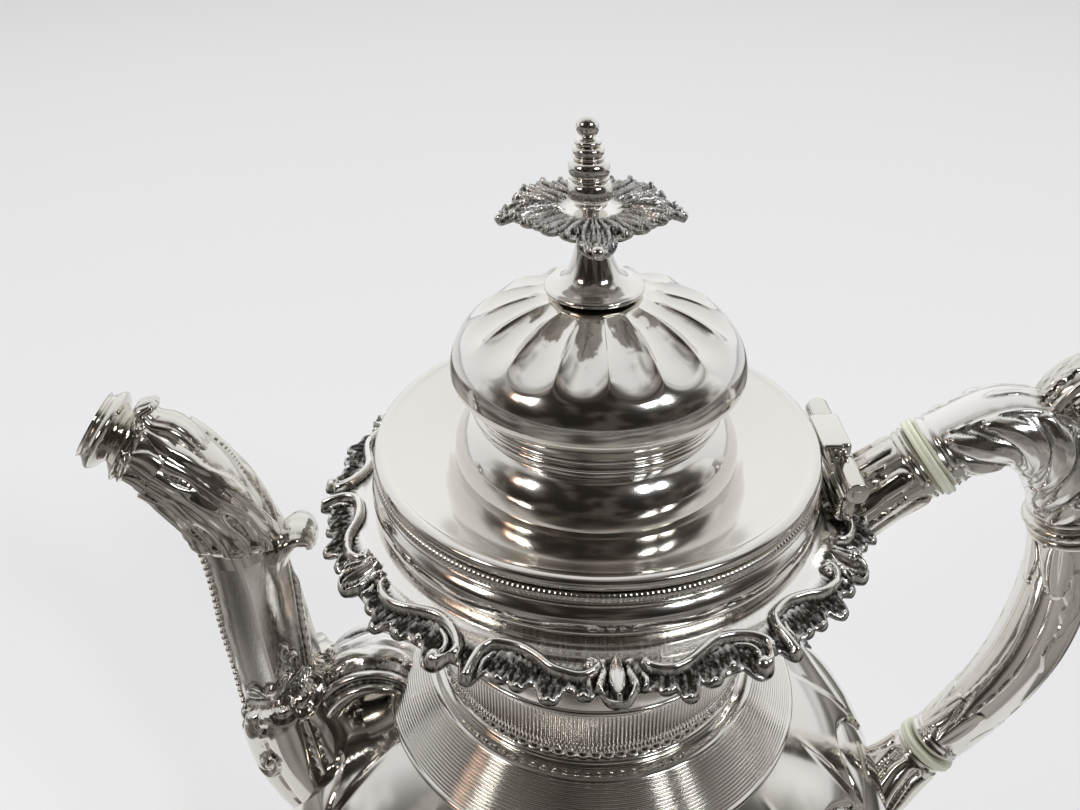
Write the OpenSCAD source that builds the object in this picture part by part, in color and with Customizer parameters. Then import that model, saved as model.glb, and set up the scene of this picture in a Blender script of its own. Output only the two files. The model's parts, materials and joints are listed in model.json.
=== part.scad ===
// Silver coffee pot: bulbous body on a spun foot, cast spout, hinged lid, insulated handle.
// Body axis on Z, spout to -X, handle to +X, foot on z = 0. Millimetres.

/* [Body] */
// Largest radius of the belly
body_r = 78; // [60:0.5:95]
// Height of the widest part of the belly
body_z = 72; // [55:0.5:90]
// Height from the widest part to the virtual top of the belly curve
body_up = 66; // [50:0.5:80]
// Depth from the widest part to the bottom of the belly
body_down = 46; // [35:0.5:60]
// Thickness of raised and spun sheet
wall = 1.2; // [0.8:0.1:2]

/* [Shoulder and neck] */
// Height of the seam between belly and shoulder ring
shoulder_z = 124.4; // [110:0.1:130]
// Outer radius of the reeded shoulder ring
shoulder_r = 48; // [40:0.5:55]
// Height of the top of the shoulder ring
band_z = 135.2; // [130:0.1:140]
// Radius of the ribbed neck band
band_r = 34.8; // [30:0.1:40]
// Height of the top of the ribbed neck band
neck_z = 152; // [145:0.5:160]
// Radius of the neck under the collar
neck_r = 44; // [40:0.5:46]
// Height of the top of the neck
collar_z = 182.9; // [175:0.1:190]

/* [Mouth and collar] */
// Outer radius of the convex mouth moulding
mouth_r = 46.3; // [44:0.1:50]
// Inner radius of the mouth
mouth_bore_r = 41.6; // [38:0.1:43]
// Height of the mouth moulding
mouth_h = 8.3; // [6:0.1:12]
// Radius of the smooth flange of the collar border
collar_r = 51; // [48:0.5:54]
// Reach of the shells and leaf tips of the collar border
collar_tip_r = 57; // [53:0.5:60]
// Thickness of the cast collar border
collar_t = 1.4; // [1:0.1:2.5]

/* [Lid] */
// Radius of the lid plate
lid_r = 45; // [42:0.5:48]
// Height of the upper edge of the lid plate
lid_z = 196; // [190:0.5:205]
// Thickness of the lid plate's edge
lid_edge = 2.4; // [1.5:0.1:3.5]
// Radius of the dome at its widest
dome_r = 28.9; // [24:0.1:32]
// Radius of the waist under the dome
dome_waist_r = 24.2; // [20:0.1:26]
// Radius of the bulge under the waist
bulge_r = 28.8; // [26:0.1:31]
// Outer radius of the bezel that drops into the mouth
bezel_r = 40.6; // [36:0.1:41]
// Depth of the bezel
bezel_h = 5.4; // [3:0.1:9]

/* [Finial] */
// Radius of the shell disc on the finial
disc_r = 17; // [12:0.5:20]
// Height of the shell disc above the lid plate
disc_up = 47.4; // [40:0.1:52]
// Radius of the stud that holds the finial
stud_r = 1.5; // [1:0.1:2]

/* [Hinge] */
// Distance of the hinge axis from the pot's axis
hinge_x = 50; // [48:0.5:53]
// Height of the hinge axis below the lid plate
hinge_drop = 5; // [4:0.5:7]
// Radius of the hinge knuckles
knuckle_r = 2.4; // [2:0.1:3.5]
// Radius of the hinge pin
pin_r = 1; // [0.8:0.1:1.4]
// Radial running clearance of the lid knuckle on the pin
pin_clear = 0.05; // [0.01:0.01:0.1]
// Half the length of the hinge
hinge_half = 16; // [12:0.5:20]
// Half the width of the lid's knuckle
leaf_half = 6; // [4:0.5:8]

/* [Handle] */
// Radius of the handle tube
handle_r = 7.8; // [7:0.1:10]
// Radius of the insulating discs
insulator_r = 8.9; // [8.4:0.1:11]
// Thickness of the insulating discs
insulator_t = 2.2; // [1.5:0.1:4]

/* [Spout] */
// Radius of the bead wire along the spout
bead_r = 1.15; // [0.8:0.05:1.6]
// Radius of the hole in the belly behind the spout
spout_hole_r = 11; // [8:0.5:13]
// Radius of the holes of the strainer
strainer_hole_r = 1.1; // [0.8:0.1:1.6]

/* [Foot] */
// Radius of the foot at the table
foot_r = 46; // [38:0.5:54]
// Radius of the waist of the foot
foot_waist_r = 22.5; // [18:0.5:27]

/* [Output] */
// Sub-part to draw

/* [Hidden] */
fine = 96;
gap = 0.05;
silver = [0.80, 0.78, 0.74];
ivory = [0.86, 0.86, 0.74];
hinge_z = lid_z - hinge_drop;
mouth_z = collar_z + gap;
beading_z = mouth_z + mouth_h + gap;
beading_h = lid_z - lid_edge - 0.2 - beading_z;
sides = 24;
steps = 4;

// Half width of the belly at height z, for a curve lying d inside the outer one
function belly_r(z, d = 0) =
    let (b = z > body_z ? body_up : body_down)
    (body_r - d) * sqrt(max(0, 1 - pow((z - body_z) / (b - d), 2)));
// Point of the belly curve at angle t from the equator
function belly_pt(t, d = 0) =
    [(body_r - d) * cos(t), body_z + ((t > 0 ? body_up : body_down) - d) * sin(t)];
function belly_top(d) = asin((shoulder_z - body_z) / (body_up - d));
// Flare of the neck at height z
function neck_pt(z) = band_r + (neck_r - band_r) * pow(max(0, (z - neck_z) / (collar_z - neck_z)), 1.8);

// Catmull-Rom value on four numbers or vectors
function cr(a, b, c, d, t) =
    0.5 * (2 * b + (c - a) * t + (2 * a - 5 * b + 4 * c - d) * t * t
           + (3 * b - a - 3 * c + d) * t * t * t);
function at(p, i) = p[max(0, min(len(p) - 1, i))];
// Smooth path through stations [x, z, half width across, half width along Y]
function smooth(p) =
    [for (i = [0:len(p) - 2], k = [0:steps - 1])
        cr(at(p, i - 1), at(p, i), at(p, i + 1), at(p, i + 2), k / steps), at(p, len(p) - 1)];
function heading(p, i) =
    let (a = at(p, i - 1), b = at(p, i + 1)) atan2(b[1] - a[1], b[0] - a[0]);
function part_of(p, i0, i1) = [for (i = [i0:i1]) concat(p[i], heading(p, i))];
// Ring of points across a station, smaller by d
function ring(s, d, n) =
    [for (k = [0:n - 1])
        let (a = 360 * k / n, u = (s[2] - d) * cos(a), v = (s[3] - d) * sin(a))
        [s[0] - u * sin(s[4]), v, s[1] + u * cos(s[4])]];
function quad(a, b, c, d) = [[a, b, c], [a, c, d]];

// Solid sweep through stations with headings
module sweep(p, d = 0, n = sides) {
    m = len(p);
    pts = [for (s = p) each ring(s, d, n)];
    walls = [for (j = [0:m - 2], i = [0:n - 1])
        each quad(j * n + i, j * n + (i + 1) % n, (j + 1) * n + (i + 1) % n, (j + 1) * n + i)];
    caps = [[for (i = [n - 1:-1:0]) i], [for (i = [0:n - 1]) (m - 1) * n + i]];
    polyhedron(points = pts, faces = concat(walls, caps));
}

// Hollow sweep, open at both ends
module tube(p, t, d = 0, n = sides) {
    m = len(p);
    q = m * n;
    pts = [for (e = [d, d + t], s = p) each ring(s, e, n)];
    outer = [for (j = [0:m - 2], i = [0:n - 1])
        each quad(j * n + i, j * n + (i + 1) % n, (j + 1) * n + (i + 1) % n, (j + 1) * n + i)];
    inner = [for (j = [0:m - 2], i = [0:n - 1])
        each quad(q + j * n + i, q + (j + 1) * n + i,
                  q + (j + 1) * n + (i + 1) % n, q + j * n + (i + 1) % n)];
    first = [for (i = [0:n - 1]) each quad(i, q + i, q + (i + 1) % n, (i + 1) % n)];
    e = (m - 1) * n;
    last = [for (i = [0:n - 1])
        each quad(e + i, e + (i + 1) % n, q + e + (i + 1) % n, q + e + i)];
    polyhedron(points = pts, faces = concat(outer, inner, first, last));
}

// Cylinder across the path at a station
module across(s, r, h) {
    translate([s[0], 0, s[1]])
        rotate([0, 90 - s[4], 0])
            cylinder(r = r, h = h, center = true, $fn = fine);
}

// Centre line of the handle from the neck to the belly
handle_path = smooth([
    [41.5, 164, 10, 9.4],
    [50, 171.6, 8.8, 8.4],
    [58.3, 178.9, 7.9, handle_r],
    [65, 184.4, handle_r, handle_r],
    [69.75, 188.45, handle_r, handle_r],
    [75.6, 192.7, handle_r, handle_r],
    [82.8, 196.1, 8.2, 8.2],
    [89.6, 194.8, 8.2, 8.2],
    [95.4, 190.2, 8.2, 8],
    [99.8, 183, 7.7, 7.6],
    [103.4, 172.6, 7.3, 7.3],
    [105.8, 160, 7.3, 7.2],
    [106.6, 146.8, 7.8, 7.5],
    [105.4, 133.2, 7.9, 7.6],
    [102.4, 122, 7.7, 7.4],
    [98.2, 112.4, 7.3, 7.1],
    [93.6, 103.6, 6.8, 6.7],
    [89.1, 96.4, 6.5, 6.4],
    [84.6, 89, 6.5, 6.5],
    [79.8, 81.6, 7.6, 8],
    [73.6, 72.2, 9.4, 10.4]
]);
upper_cut = 4 * steps;
elbow_cut = 10 * steps;
lower_cut = 17 * steps;

// Centre line of the spout from inside the belly to the lip
spout_path = smooth([
    [-56, 80, 14, 15],
    [-63, 94, 14.5, 15.5],
    [-69.6, 107.5, 13.6, 14.4],
    [-73.6, 121, 11, 12],
    [-75, 134, 10, 10.4],
    [-75.9, 145.5, 9.7, 9.5],
    [-76.4, 156.5, 9.1, 8.8],
    [-77.4, 166, 8.5, 8.2],
    [-79.7, 175.4, 8, 7.7],
    [-83.6, 183.6, 8.1, 7.7],
    [-88.2, 189.4, 8.2, 7.8],
    [-93, 192.9, 8.1, 7.8],
    [-97.3, 194.9, 8.4, 8.2],
    [-100.4, 196.2, 9.6, 9]
]);
base_cut = 3 * steps + 2;
leaf_cut = 8 * steps - 1;
leaf_end = 10 * steps;
spout_end = 13 * steps;

module belly_solid(g = 0) {
    rotate_extrude($fn = fine)
        polygon(concat(
            [for (k = [0:23]) belly_pt(-90 + 90 * k / 24, -g)],
            [for (k = [0:16]) belly_pt(belly_top(-g) * k / 16, -g)],
            [[0, shoulder_z]]));
}

module neck_solid(g = 0) {
    rotate_extrude($fn = fine)
        polygon(concat(
            [[0, neck_z], [band_r + g, neck_z]],
            [for (k = [1:10]) let (z = neck_z + (collar_z - neck_z) * k / 10) [neck_pt(z) + g, z]],
            [[0, collar_z]]));
}

module foot_ring() {
    color(silver)
        rotate_extrude($fn = fine)
            polygon([[foot_r - 2.6, 0], [foot_r + 1.4, 0], [foot_r + 2.2, 0.8], [foot_r + 2.2, 2.4],
                     [foot_r + 1.2, 3.4], [foot_r + gap, 3.6], [foot_r + gap, 1.2],
                     [foot_r - 2.6, 1.2]]);
}

module foot_pedestal() {
    color(silver)
        difference() {
            rotate_extrude($fn = fine)
                polygon([[foot_r - wall, 1.25], [foot_r, 1.25], [foot_r, 4.4], [foot_r - 3, 6.8],
                         [foot_r - 9.5, 9], [30, 12.6], [25, 16.6], [foot_waist_r, 21],
                         [foot_waist_r + 0.8, 25], [27, 28.2], [27, 30], [foot_waist_r - 1, 29],
                         [foot_waist_r - 1.2, 21.2], [24, 15.8], [29.4, 11.5],
                         [foot_r - 10, 7.8], [foot_r - 3.7, 5.8], [foot_r - wall, 3.8]]);
            belly_solid(gap);
        }
}

module body_shell() {
    color(silver)
        difference() {
            rotate_extrude($fn = fine)
                polygon(concat(
                    [for (k = [0:24]) belly_pt(-90 + 90 * k / 24)],
                    [for (k = [1:16]) belly_pt(belly_top(0) * k / 16)],
                    [for (k = [16:-1:1]) belly_pt(belly_top(wall) * k / 16, wall)],
                    [for (k = [24:-1:0]) belly_pt(-90 + 90 * k / 24, wall)]));
            spout_bore(spout_hole_r, 16);
        }
}

// Axis of the hole behind the spout, square to the belly
strainer_sink = 0.9;
hole_z = 100;
hole_x = -belly_r(hole_z, wall / 2);
hole_tilt = atan2((hole_z - body_z) / pow(body_up, 2), -hole_x / pow(body_r, 2));
module spout_bore(r, h, sink = 0) {
    translate([hole_x, 0, hole_z])
        rotate([0, -90 + hole_tilt, 0])
            translate([0, 0, -sink])
                cylinder(r = r, h = h, center = true, $fn = fine);
}

module strainer_plate() {
    pitch = 3.2;
    color(silver)
        difference() {
            spout_bore(spout_hole_r - gap, 1, strainer_sink);
            translate([hole_x, 0, hole_z])
                rotate([0, -90 + hole_tilt, 0])
                    for (i = [-2:2], j = [-2:2])
                        if (abs(i + j) <= 2)
                            translate([pitch * (i + j / 2), pitch * j * sin(60), 0])
                                cylinder(r = strainer_hole_r, h = 6, center = true, $fn = 24);
        }
}

module shoulder_ring() {
    reeds = 9;
    top_r = 38.4;
    top_z = band_z - 1.1;
    fall = top_z - shoulder_z - 1.1;
    color(silver)
        rotate_extrude($fn = fine)
            polygon(concat(
                [[shoulder_r - 1.6, shoulder_z + gap], [shoulder_r, shoulder_z + gap]],
                [for (k = [0:reeds], e = [0, 1])
                    [shoulder_r - (shoulder_r - top_r) * (k + 0.4 * e) / (reeds + 0.4),
                     shoulder_z + 1.1 + fall * (k + e) / (reeds + 1)]],
                [[36.6, band_z - 0.5], [band_r - 1, band_z - gap],
                 [band_r - wall - 0.3, band_z - gap], [band_r - wall - 0.3, band_z - 1.3],
                 [37.6, top_z - 1]]));
}

module neck_band() {
    color(silver)
        rotate_extrude($fn = fine)
            polygon([[band_r - wall, band_z], [band_r + 0.5, band_z], [band_r + 0.8, band_z + 0.8],
                     [band_r + 0.4, band_z + 1.6], [band_r - 0.1, band_z + 2],
                     [band_r - 0.1, neck_z - 1.6], [band_r + 0.4, neck_z - 1.2],
                     [band_r + 0.4, neck_z - 0.4], [band_r, neck_z - gap],
                     [band_r - wall, neck_z - gap]]);
}

module neck() {
    color(silver)
        rotate_extrude($fn = fine)
            polygon(concat(
                [for (k = [0:12]) let (z = neck_z + (collar_z - neck_z) * k / 12) [neck_pt(z), z]],
                [for (k = [12:-1:0])
                    let (z = neck_z + (collar_z - neck_z) * k / 12) [neck_pt(z) - wall, z]]));
}

module mouth_rim() {
    color(silver)
        rotate_extrude($fn = fine)
            polygon(concat(
                [[mouth_bore_r, mouth_z], [mouth_r - 1.4, mouth_z]],
                [for (k = [0:8]) let (t = -75 + 150 * k / 8)
                    [mouth_r - 2 + 2 * cos(t), mouth_z + mouth_h / 2 + 3.7 * sin(t)]],
                [[mouth_r - 1.4, mouth_z + mouth_h], [mouth_bore_r, mouth_z + mouth_h]]));
}

module rim_beading() {
    color(silver)
        rotate_extrude($fn = fine)
            polygon([[mouth_bore_r, beading_z], [mouth_r - 1.2, beading_z],
                     [mouth_r - 0.8, beading_z + 0.5], [mouth_r - 0.8, beading_z + beading_h - 0.5],
                     [mouth_r - 1.2, beading_z + beading_h], [mouth_bore_r, beading_z + beading_h]]);
}

module collar_border() {
    color(silver)
        difference() {
            translate([0, 0, collar_z - collar_t])
                linear_extrude(collar_t)
                    union() {
                        circle(r = collar_r, $fn = fine);
                        for (k = [0:5]) {
                            rotate(60 * k - 89)
                                translate([collar_tip_r - 6.5, 0])
                                    circle(r = 6.5, $fn = 32);
                            for (s = [-1, 1]) {
                                rotate(60 * k - 89 + 17 * s)
                                    translate([collar_tip_r - 5, 0])
                                        circle(r = 4, $fn = 32);
                                rotate(60 * k - 59 + 4 * s)
                                    translate([collar_tip_r - 5.2, 0])
                                        circle(r = 4.2, $fn = 32);
                            }
                        }
                    }
            translate([0, 0, collar_z - 4])
                cylinder(r = neck_r + 0.2, h = 8, $fn = fine);
            translate([46.5, -11, collar_z - 5])
                cube([20, 22, 10]);
        }
}

module spout_base() {
    color(silver)
        difference() {
            tube(part_of(spout_path, 0, base_cut), wall + 0.6);
            belly_solid(gap);
            shoulder_clearance();
        }
}

module shoulder_clearance() {
    translate([0, 0, shoulder_z - 2])
        cylinder(r = shoulder_r + 0.4, h = 14, $fn = fine);
}

module spout_scroll() {
    p = smooth([[-62, 113, 3, 5], [-62, 121, 3.8, 6], [-61.4, 128.4, 4, 6.6], [-58.8, 133.4, 3.8, 6.6],
                [-55.2, 135.2, 3.2, 6.2], [-52.2, 133.6, 2.6, 5.6], [-51.4, 131.2, 2.2, 5]]);
    color(silver)
        difference() {
            sweep(part_of(p, 0, 6 * steps), 0, 16);
            sweep(part_of(spout_path, 0, 6 * steps), -gap, sides);
            belly_solid(gap);
        }
}

module spout_tube() {
    color(silver)
        tube(part_of(spout_path, base_cut, leaf_cut), wall);
}

module spout_bead_strip() {
    p = part_of(spout_path, base_cut, leaf_cut);
    color(silver)
        difference() {
            union() {
                for (k = [1:len(p) - 2])
                    for (f = [0, 0.5]) {
                        a = p[k] + f * (p[k + 1] - p[k]);
                        if (k + f < len(p) - 1.5)
                            translate([a[0] - (a[2] + bead_r * 0.75) * abs(sin(a[4])), 0,
                                       a[1] + (a[2] + bead_r * 0.75) * cos(a[4])])
                                sphere(r = bead_r, $fn = 24);
                    }
                sweep([for (k = [0:len(p) - 1])
                    let (a = p[k])
                    [a[0] - a[2] * abs(sin(a[4])), a[1] + a[2] * cos(a[4]), 0.8, 1.1, a[4]]], 0, 12);
            }
            sweep(part_of(spout_path, base_cut - 2, leaf_cut + 2), -gap, sides);
        }
}

module spout_leaf() {
    color(silver)
        tube(part_of(spout_path, leaf_cut, leaf_end), 1, -0.4);
}

module spout_nozzle() {
    p = part_of(spout_path, leaf_cut, spout_end);
    q = [for (k = [0:len(p) - 1])
        let (s = p[k], d = k + leaf_cut <= leaf_end ? 0.65 : 0)
        [s[0], s[1], s[2] - d, s[3] - d, s[4]]];
    color(silver)
        tube(q, wall);
}

module handle_upper_socket() {
    color(silver)
        difference() {
            tube(part_of(handle_path, 0, upper_cut - 1), wall);
            neck_solid(gap);
            translate([0, 0, 130])
                cylinder(r = band_r + 0.6, h = 40, $fn = fine);
            translate([0, 0, collar_z - collar_t - 0.1])
                cylinder(r = mouth_r + 0.15, h = 20, $fn = fine);
            translate([40, -hinge_half - 2, collar_z - 1.5])
                cube([13.4, 2 * hinge_half + 4, 20]);
            translate([hinge_x, 0, hinge_z])
                rotate([90, 0, 0])
                    cylinder(r = 5.4, h = 50, center = true, $fn = fine);
        }
}

module upper_insulator() {
    color(ivory)
        difference() {
            across(part_of(handle_path, upper_cut, upper_cut)[0], insulator_r, insulator_t);
            tube_end_clearance(upper_cut);
        }
}

// Keeps the neighbouring tube ends out of an insulating disc
module tube_end_clearance(i) {
    sweep(part_of(handle_path, i - 4, i - 1), -gap, sides);
    sweep(part_of(handle_path, i + 1, i + 4), -gap, sides);
}

module handle_elbow() {
    color(silver)
        tube(part_of(handle_path, upper_cut + 1, elbow_cut - 1), wall);
}

module thumb_scroll() {
    p = smooth([[93, 196, 3.4, 4.4], [91.4, 203, 3, 4.4], [92.6, 209.4, 2.8, 4.6],
                [97.6, 213.6, 2.7, 4.8], [104, 213.8, 2.6, 4.6], [109, 210, 2.5, 4],
                [109.6, 204.6, 2.3, 3.6], [105.6, 202, 2.2, 3.4], [102.6, 204.6, 2.2, 3.2]]);
    color(silver)
        difference() {
            sweep(part_of(p, 0, 8 * steps), 0, 16);
            sweep(part_of(handle_path, upper_cut, elbow_cut + 2), -gap, sides);
        }
}

module knuckle_ring() {
    color(silver)
        difference() {
            union()
                for (k = [-1:1]) {
                    s = part_of(handle_path, elbow_cut + k, elbow_cut + k)[0];
                    across(s, k == 0 ? 9 : 8.2, 3);
                }
            sweep(part_of(handle_path, elbow_cut - 4, elbow_cut - 1), -gap, sides);
            sweep(part_of(handle_path, elbow_cut + 1, elbow_cut + 4), -gap, sides);
        }
}

module handle_grip() {
    color(silver)
        tube(part_of(handle_path, elbow_cut + 1, lower_cut - 1), wall);
}

module lower_insulator() {
    color(ivory)
        difference() {
            across(part_of(handle_path, lower_cut, lower_cut)[0], insulator_r - 1.3, insulator_t);
            tube_end_clearance(lower_cut);
        }
}

module handle_lower_socket() {
    color(silver)
        difference() {
            tube(part_of(handle_path, lower_cut + 1, 20 * steps), wall);
            belly_solid(gap);
        }
}

// Rivets through the tube ends into the insulating discs
module insulator_pins() {
    color(silver)
        for (i = [upper_cut - 2, upper_cut + 2, lower_cut - 2, lower_cut + 2]) {
            s = part_of(handle_path, i, i)[0];
            for (e = [-1, 1])
                translate([s[0], e * (s[3] + 0.65), s[1]])
                    rotate([90, 0, 0])
                        cylinder(r = 1.1, h = 1, center = true, $fn = 24);
        }
}

module hinge_bracket() {
    color(silver)
        difference() {
            union() {
                for (e = [-1, 1])
                    translate([0, e * (hinge_half + leaf_half + 0.35) / 2, 0]) {
                        w = hinge_half - leaf_half - 0.35;
                        translate([hinge_x, 0, hinge_z])
                            rotate([90, 0, 0])
                                cylinder(r = knuckle_r, h = w, center = true, $fn = fine);
                        translate([hinge_x - 8, -w / 2, collar_z + 0.8])
                            cube([8.6, w, hinge_z - collar_z - 0.8]);
                    }
                translate([hinge_x - 8, -hinge_half, collar_z + 0.8])
                    cube([8.6, 2 * hinge_half, hinge_z - knuckle_r - collar_z - 1.4]);
            }
            cylinder(r = mouth_r + gap, h = 300, $fn = fine);
            translate([hinge_x, 0, hinge_z])
                rotate([90, 0, 0])
                    cylinder(r = pin_r + 0.01, h = 60, center = true, $fn = 48);
        }
}

module hinge_pin() {
    color(silver)
        translate([hinge_x, 0, hinge_z])
            rotate([90, 0, 0])
                cylinder(r = pin_r, h = 2 * hinge_half + 0.8, center = true, $fn = 48);
}

module hinge_leaf() {
    color(silver)
        difference() {
            union() {
                translate([hinge_x, 0, hinge_z])
                    rotate([90, 0, 0])
                        cylinder(r = knuckle_r, h = 2 * leaf_half, center = true, $fn = fine);
                translate([hinge_x - 1.3, -leaf_half, hinge_z])
                    cube([2.6, 2 * leaf_half, hinge_drop - 1]);
                translate([hinge_x - 6, -leaf_half, lid_z - lid_edge + 0.3])
                    cube([7, 2 * leaf_half, lid_edge - 1]);
            }
            translate([0, 0, lid_z - lid_edge - 1])
                cylinder(r = lid_r + gap, h = lid_edge + 2, $fn = fine);
            translate([hinge_x, 0, hinge_z])
                rotate([90, 0, 0])
                    cylinder(r = pin_r + pin_clear, h = 60, center = true, $fn = 48);
        }
}

module lid_plate() {
    color(silver)
        rotate_extrude($fn = fine)
            polygon([[23, lid_z - 5.2], [29, lid_z - 5.2], [36, lid_z - 3.2],
                     [bezel_r + 0.4, lid_z - lid_edge], [lid_r - 0.4, lid_z - lid_edge],
                     [lid_r, lid_z - lid_edge + 0.4], [lid_r, lid_z - 0.4], [lid_r - 0.5, lid_z],
                     [lid_r - 1.5, lid_z + 0.3], [lid_r - 2.6, lid_z],
                     [36, lid_z - 2], [29, lid_z - 4], [23, lid_z - 4]]);
}

module lid_bezel() {
    top = lid_z - lid_edge - gap;
    color(silver)
        rotate_extrude($fn = fine)
            polygon([[bezel_r - 1.2, top - bezel_h], [bezel_r - 0.4, top - bezel_h],
                     [bezel_r, top - bezel_h + 0.6], [bezel_r, top - 0.1],
                     [bezel_r - 1.2, top - 0.4]]);
}

module lid_bulge() {
    z0 = lid_z - 4 + gap;
    color(silver)
        rotate_extrude($fn = fine)
            polygon([[bulge_r - 1.1, z0], [bulge_r - 0.2, z0], [bulge_r, z0 + 1.4],
                     [bulge_r - 0.4, z0 + 4], [bulge_r - 1.6, z0 + 6.8], [bulge_r - 3.4, z0 + 9],
                     [dome_waist_r, z0 + 10.2], [dome_waist_r - 1.1, z0 + 10.2],
                     [bulge_r - 4.4, z0 + 8.4], [bulge_r - 2.7, z0 + 6.3], [bulge_r - 1.5, z0 + 3.8],
                     [bulge_r - 1.1, z0 + 1.4]]);
}

module lid_dome() {
    z0 = lid_z + 6.4;
    eq = lid_z + 16.3;
    top = lid_z + 32;
    rise = 15.7;
    color(silver)
        rotate_extrude($fn = fine)
            polygon(concat(
                [[dome_waist_r - 1.1, z0], [dome_waist_r, z0], [dome_waist_r + 0.6, z0 + 1.5],
                 [dome_waist_r, z0 + 3], [dome_waist_r + 0.2, z0 + 5], [dome_r - 2.2, z0 + 6.2],
                 [dome_r - 0.7, z0 + 7.8]],
                [for (k = [0:12])
                    let (t = 74 * k / 12) [dome_r * pow(cos(t), 0.9), eq + rise * sin(t)]],
                [[stud_r + 0.1, top], [stud_r + 0.1, top - 1.2]],
                [for (k = [12:-1:0])
                    let (t = 74 * k / 12)
                    [dome_r * pow(cos(t), 0.9) - 1.1, eq + (rise - 1.1) * sin(t)]],
                [[dome_r - 1.8, z0 + 8.3], [dome_r - 3, z0 + 7.2], [dome_waist_r - 0.9, z0 + 5.6],
                 [dome_waist_r - 1.1, z0 + 3]]));
}

module finial_washer() {
    color(silver)
        translate([0, 0, lid_z + 29.2])
            difference() {
                cylinder(r = 5, h = 1, $fn = 48);
                translate([0, 0, -1])
                    cylinder(r = stud_r + 0.05, h = 4, $fn = 48);
            }
}

module finial_nut() {
    color(silver)
        translate([0, 0, lid_z + 26.1])
            difference() {
                cylinder(r = 3.6, h = 3, $fn = 6);
                translate([0, 0, -1])
                    cylinder(r = stud_r + 0.02, h = 6, $fn = 48);
            }
}

module finial_stud() {
    color(silver)
        translate([0, 0, lid_z + 25.4])
            cylinder(r = stud_r, h = 27.6, $fn = 48);
}

module finial_stem() {
    z0 = lid_z + 32 + gap;
    color(silver)
        rotate_extrude($fn = fine)
            polygon([[stud_r + 0.05, z0], [9, z0], [9.3, z0 + 0.6], [8.8, z0 + 1.2], [6.6, z0 + 1.4],
                     [5.4, z0 + 2.2], [4.2, z0 + 3.8], [3.5, z0 + 6], [3, z0 + 9],
                     [3.4, z0 + 11.4], [5, z0 + 13.2], [7.5, lid_z + disc_up - gap],
                     [stud_r + 0.05, lid_z + disc_up - gap]]);
}

module finial_shell_disc() {
    color(silver)
        translate([0, 0, lid_z + disc_up])
            difference() {
                linear_extrude(1.6)
                    union() {
                        circle(r = disc_r - 2.5, $fn = 64);
                        for (k = [0:11])
                            rotate(30 * k)
                                translate([disc_r - 3.6, 0])
                                    circle(r = 3.6, $fn = 24);
                    }
                translate([0, 0, -1])
                    cylinder(r = stud_r + 0.05, h = 4, $fn = 48);
            }
}

module finial_spire() {
    z0 = lid_z + disc_up + 1.6 + gap;
    color(silver)
        difference() {
            rotate_extrude($fn = fine)
                polygon([[0, z0], [3.3, z0], [3.9, z0 + 1], [3.7, z0 + 1.9], [2.9, z0 + 2.9],
                         [3.2, z0 + 4.4], [3.9, z0 + 5.6], [3.6, z0 + 6.7], [2.4, z0 + 8.2],
                         [2.7, z0 + 10], [2, z0 + 11.2], [1.4, z0 + 12], [1.6, z0 + 12.6],
                         [2, z0 + 13.5], [1.5, z0 + 14.7], [0, z0 + 15.4]]);
            translate([0, 0, z0 - 1])
                cylinder(r = stud_r + 0.05, h = 6, $fn = 48);
        }
}

foot_ring();
foot_pedestal();
body_shell();
shoulder_ring();
neck_band();
neck();
mouth_rim();
rim_beading();
collar_border();
spout_base();
spout_scroll();
spout_tube();
spout_bead_strip();
spout_leaf();
spout_nozzle();
strainer_plate();
handle_upper_socket();
upper_insulator();
handle_elbow();
thumb_scroll();
knuckle_ring();
handle_grip();
lower_insulator();
handle_lower_socket();
insulator_pins();
hinge_bracket();
hinge_pin();
hinge_leaf();
lid_plate();
lid_bezel();
lid_bulge();
lid_dome();
finial_washer();
finial_nut();
finial_stud();
finial_stem();
finial_shell_disc();
finial_spire();
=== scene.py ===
"""Silver coffee pot: the visible pieces, their finishes and the stage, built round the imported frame."""

import json
import math

import bmesh
import bpy
import numpy as np
from bpy.props import FloatProperty, FloatVectorProperty, IntProperty, PointerProperty
from mathutils import Matrix, Vector

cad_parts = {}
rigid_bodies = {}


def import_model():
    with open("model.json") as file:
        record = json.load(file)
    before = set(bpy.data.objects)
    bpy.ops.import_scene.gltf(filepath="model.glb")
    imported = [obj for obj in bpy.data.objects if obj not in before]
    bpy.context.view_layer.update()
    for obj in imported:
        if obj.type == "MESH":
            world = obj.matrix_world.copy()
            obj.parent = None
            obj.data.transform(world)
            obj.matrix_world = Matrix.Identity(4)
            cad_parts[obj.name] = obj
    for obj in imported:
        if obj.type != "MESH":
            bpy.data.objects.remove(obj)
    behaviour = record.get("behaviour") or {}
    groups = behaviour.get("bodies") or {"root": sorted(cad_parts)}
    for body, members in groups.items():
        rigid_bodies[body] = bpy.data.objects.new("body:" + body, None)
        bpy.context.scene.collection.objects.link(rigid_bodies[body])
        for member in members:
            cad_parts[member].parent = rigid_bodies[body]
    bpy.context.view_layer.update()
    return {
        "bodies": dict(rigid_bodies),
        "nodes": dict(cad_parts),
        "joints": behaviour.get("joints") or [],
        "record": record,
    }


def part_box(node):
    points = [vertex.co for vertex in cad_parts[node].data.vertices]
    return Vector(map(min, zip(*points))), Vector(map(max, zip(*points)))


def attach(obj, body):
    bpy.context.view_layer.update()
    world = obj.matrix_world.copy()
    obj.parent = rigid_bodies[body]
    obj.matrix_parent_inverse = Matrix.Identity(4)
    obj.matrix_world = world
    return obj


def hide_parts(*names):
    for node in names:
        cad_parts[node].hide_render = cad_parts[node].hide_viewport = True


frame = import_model()

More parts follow.
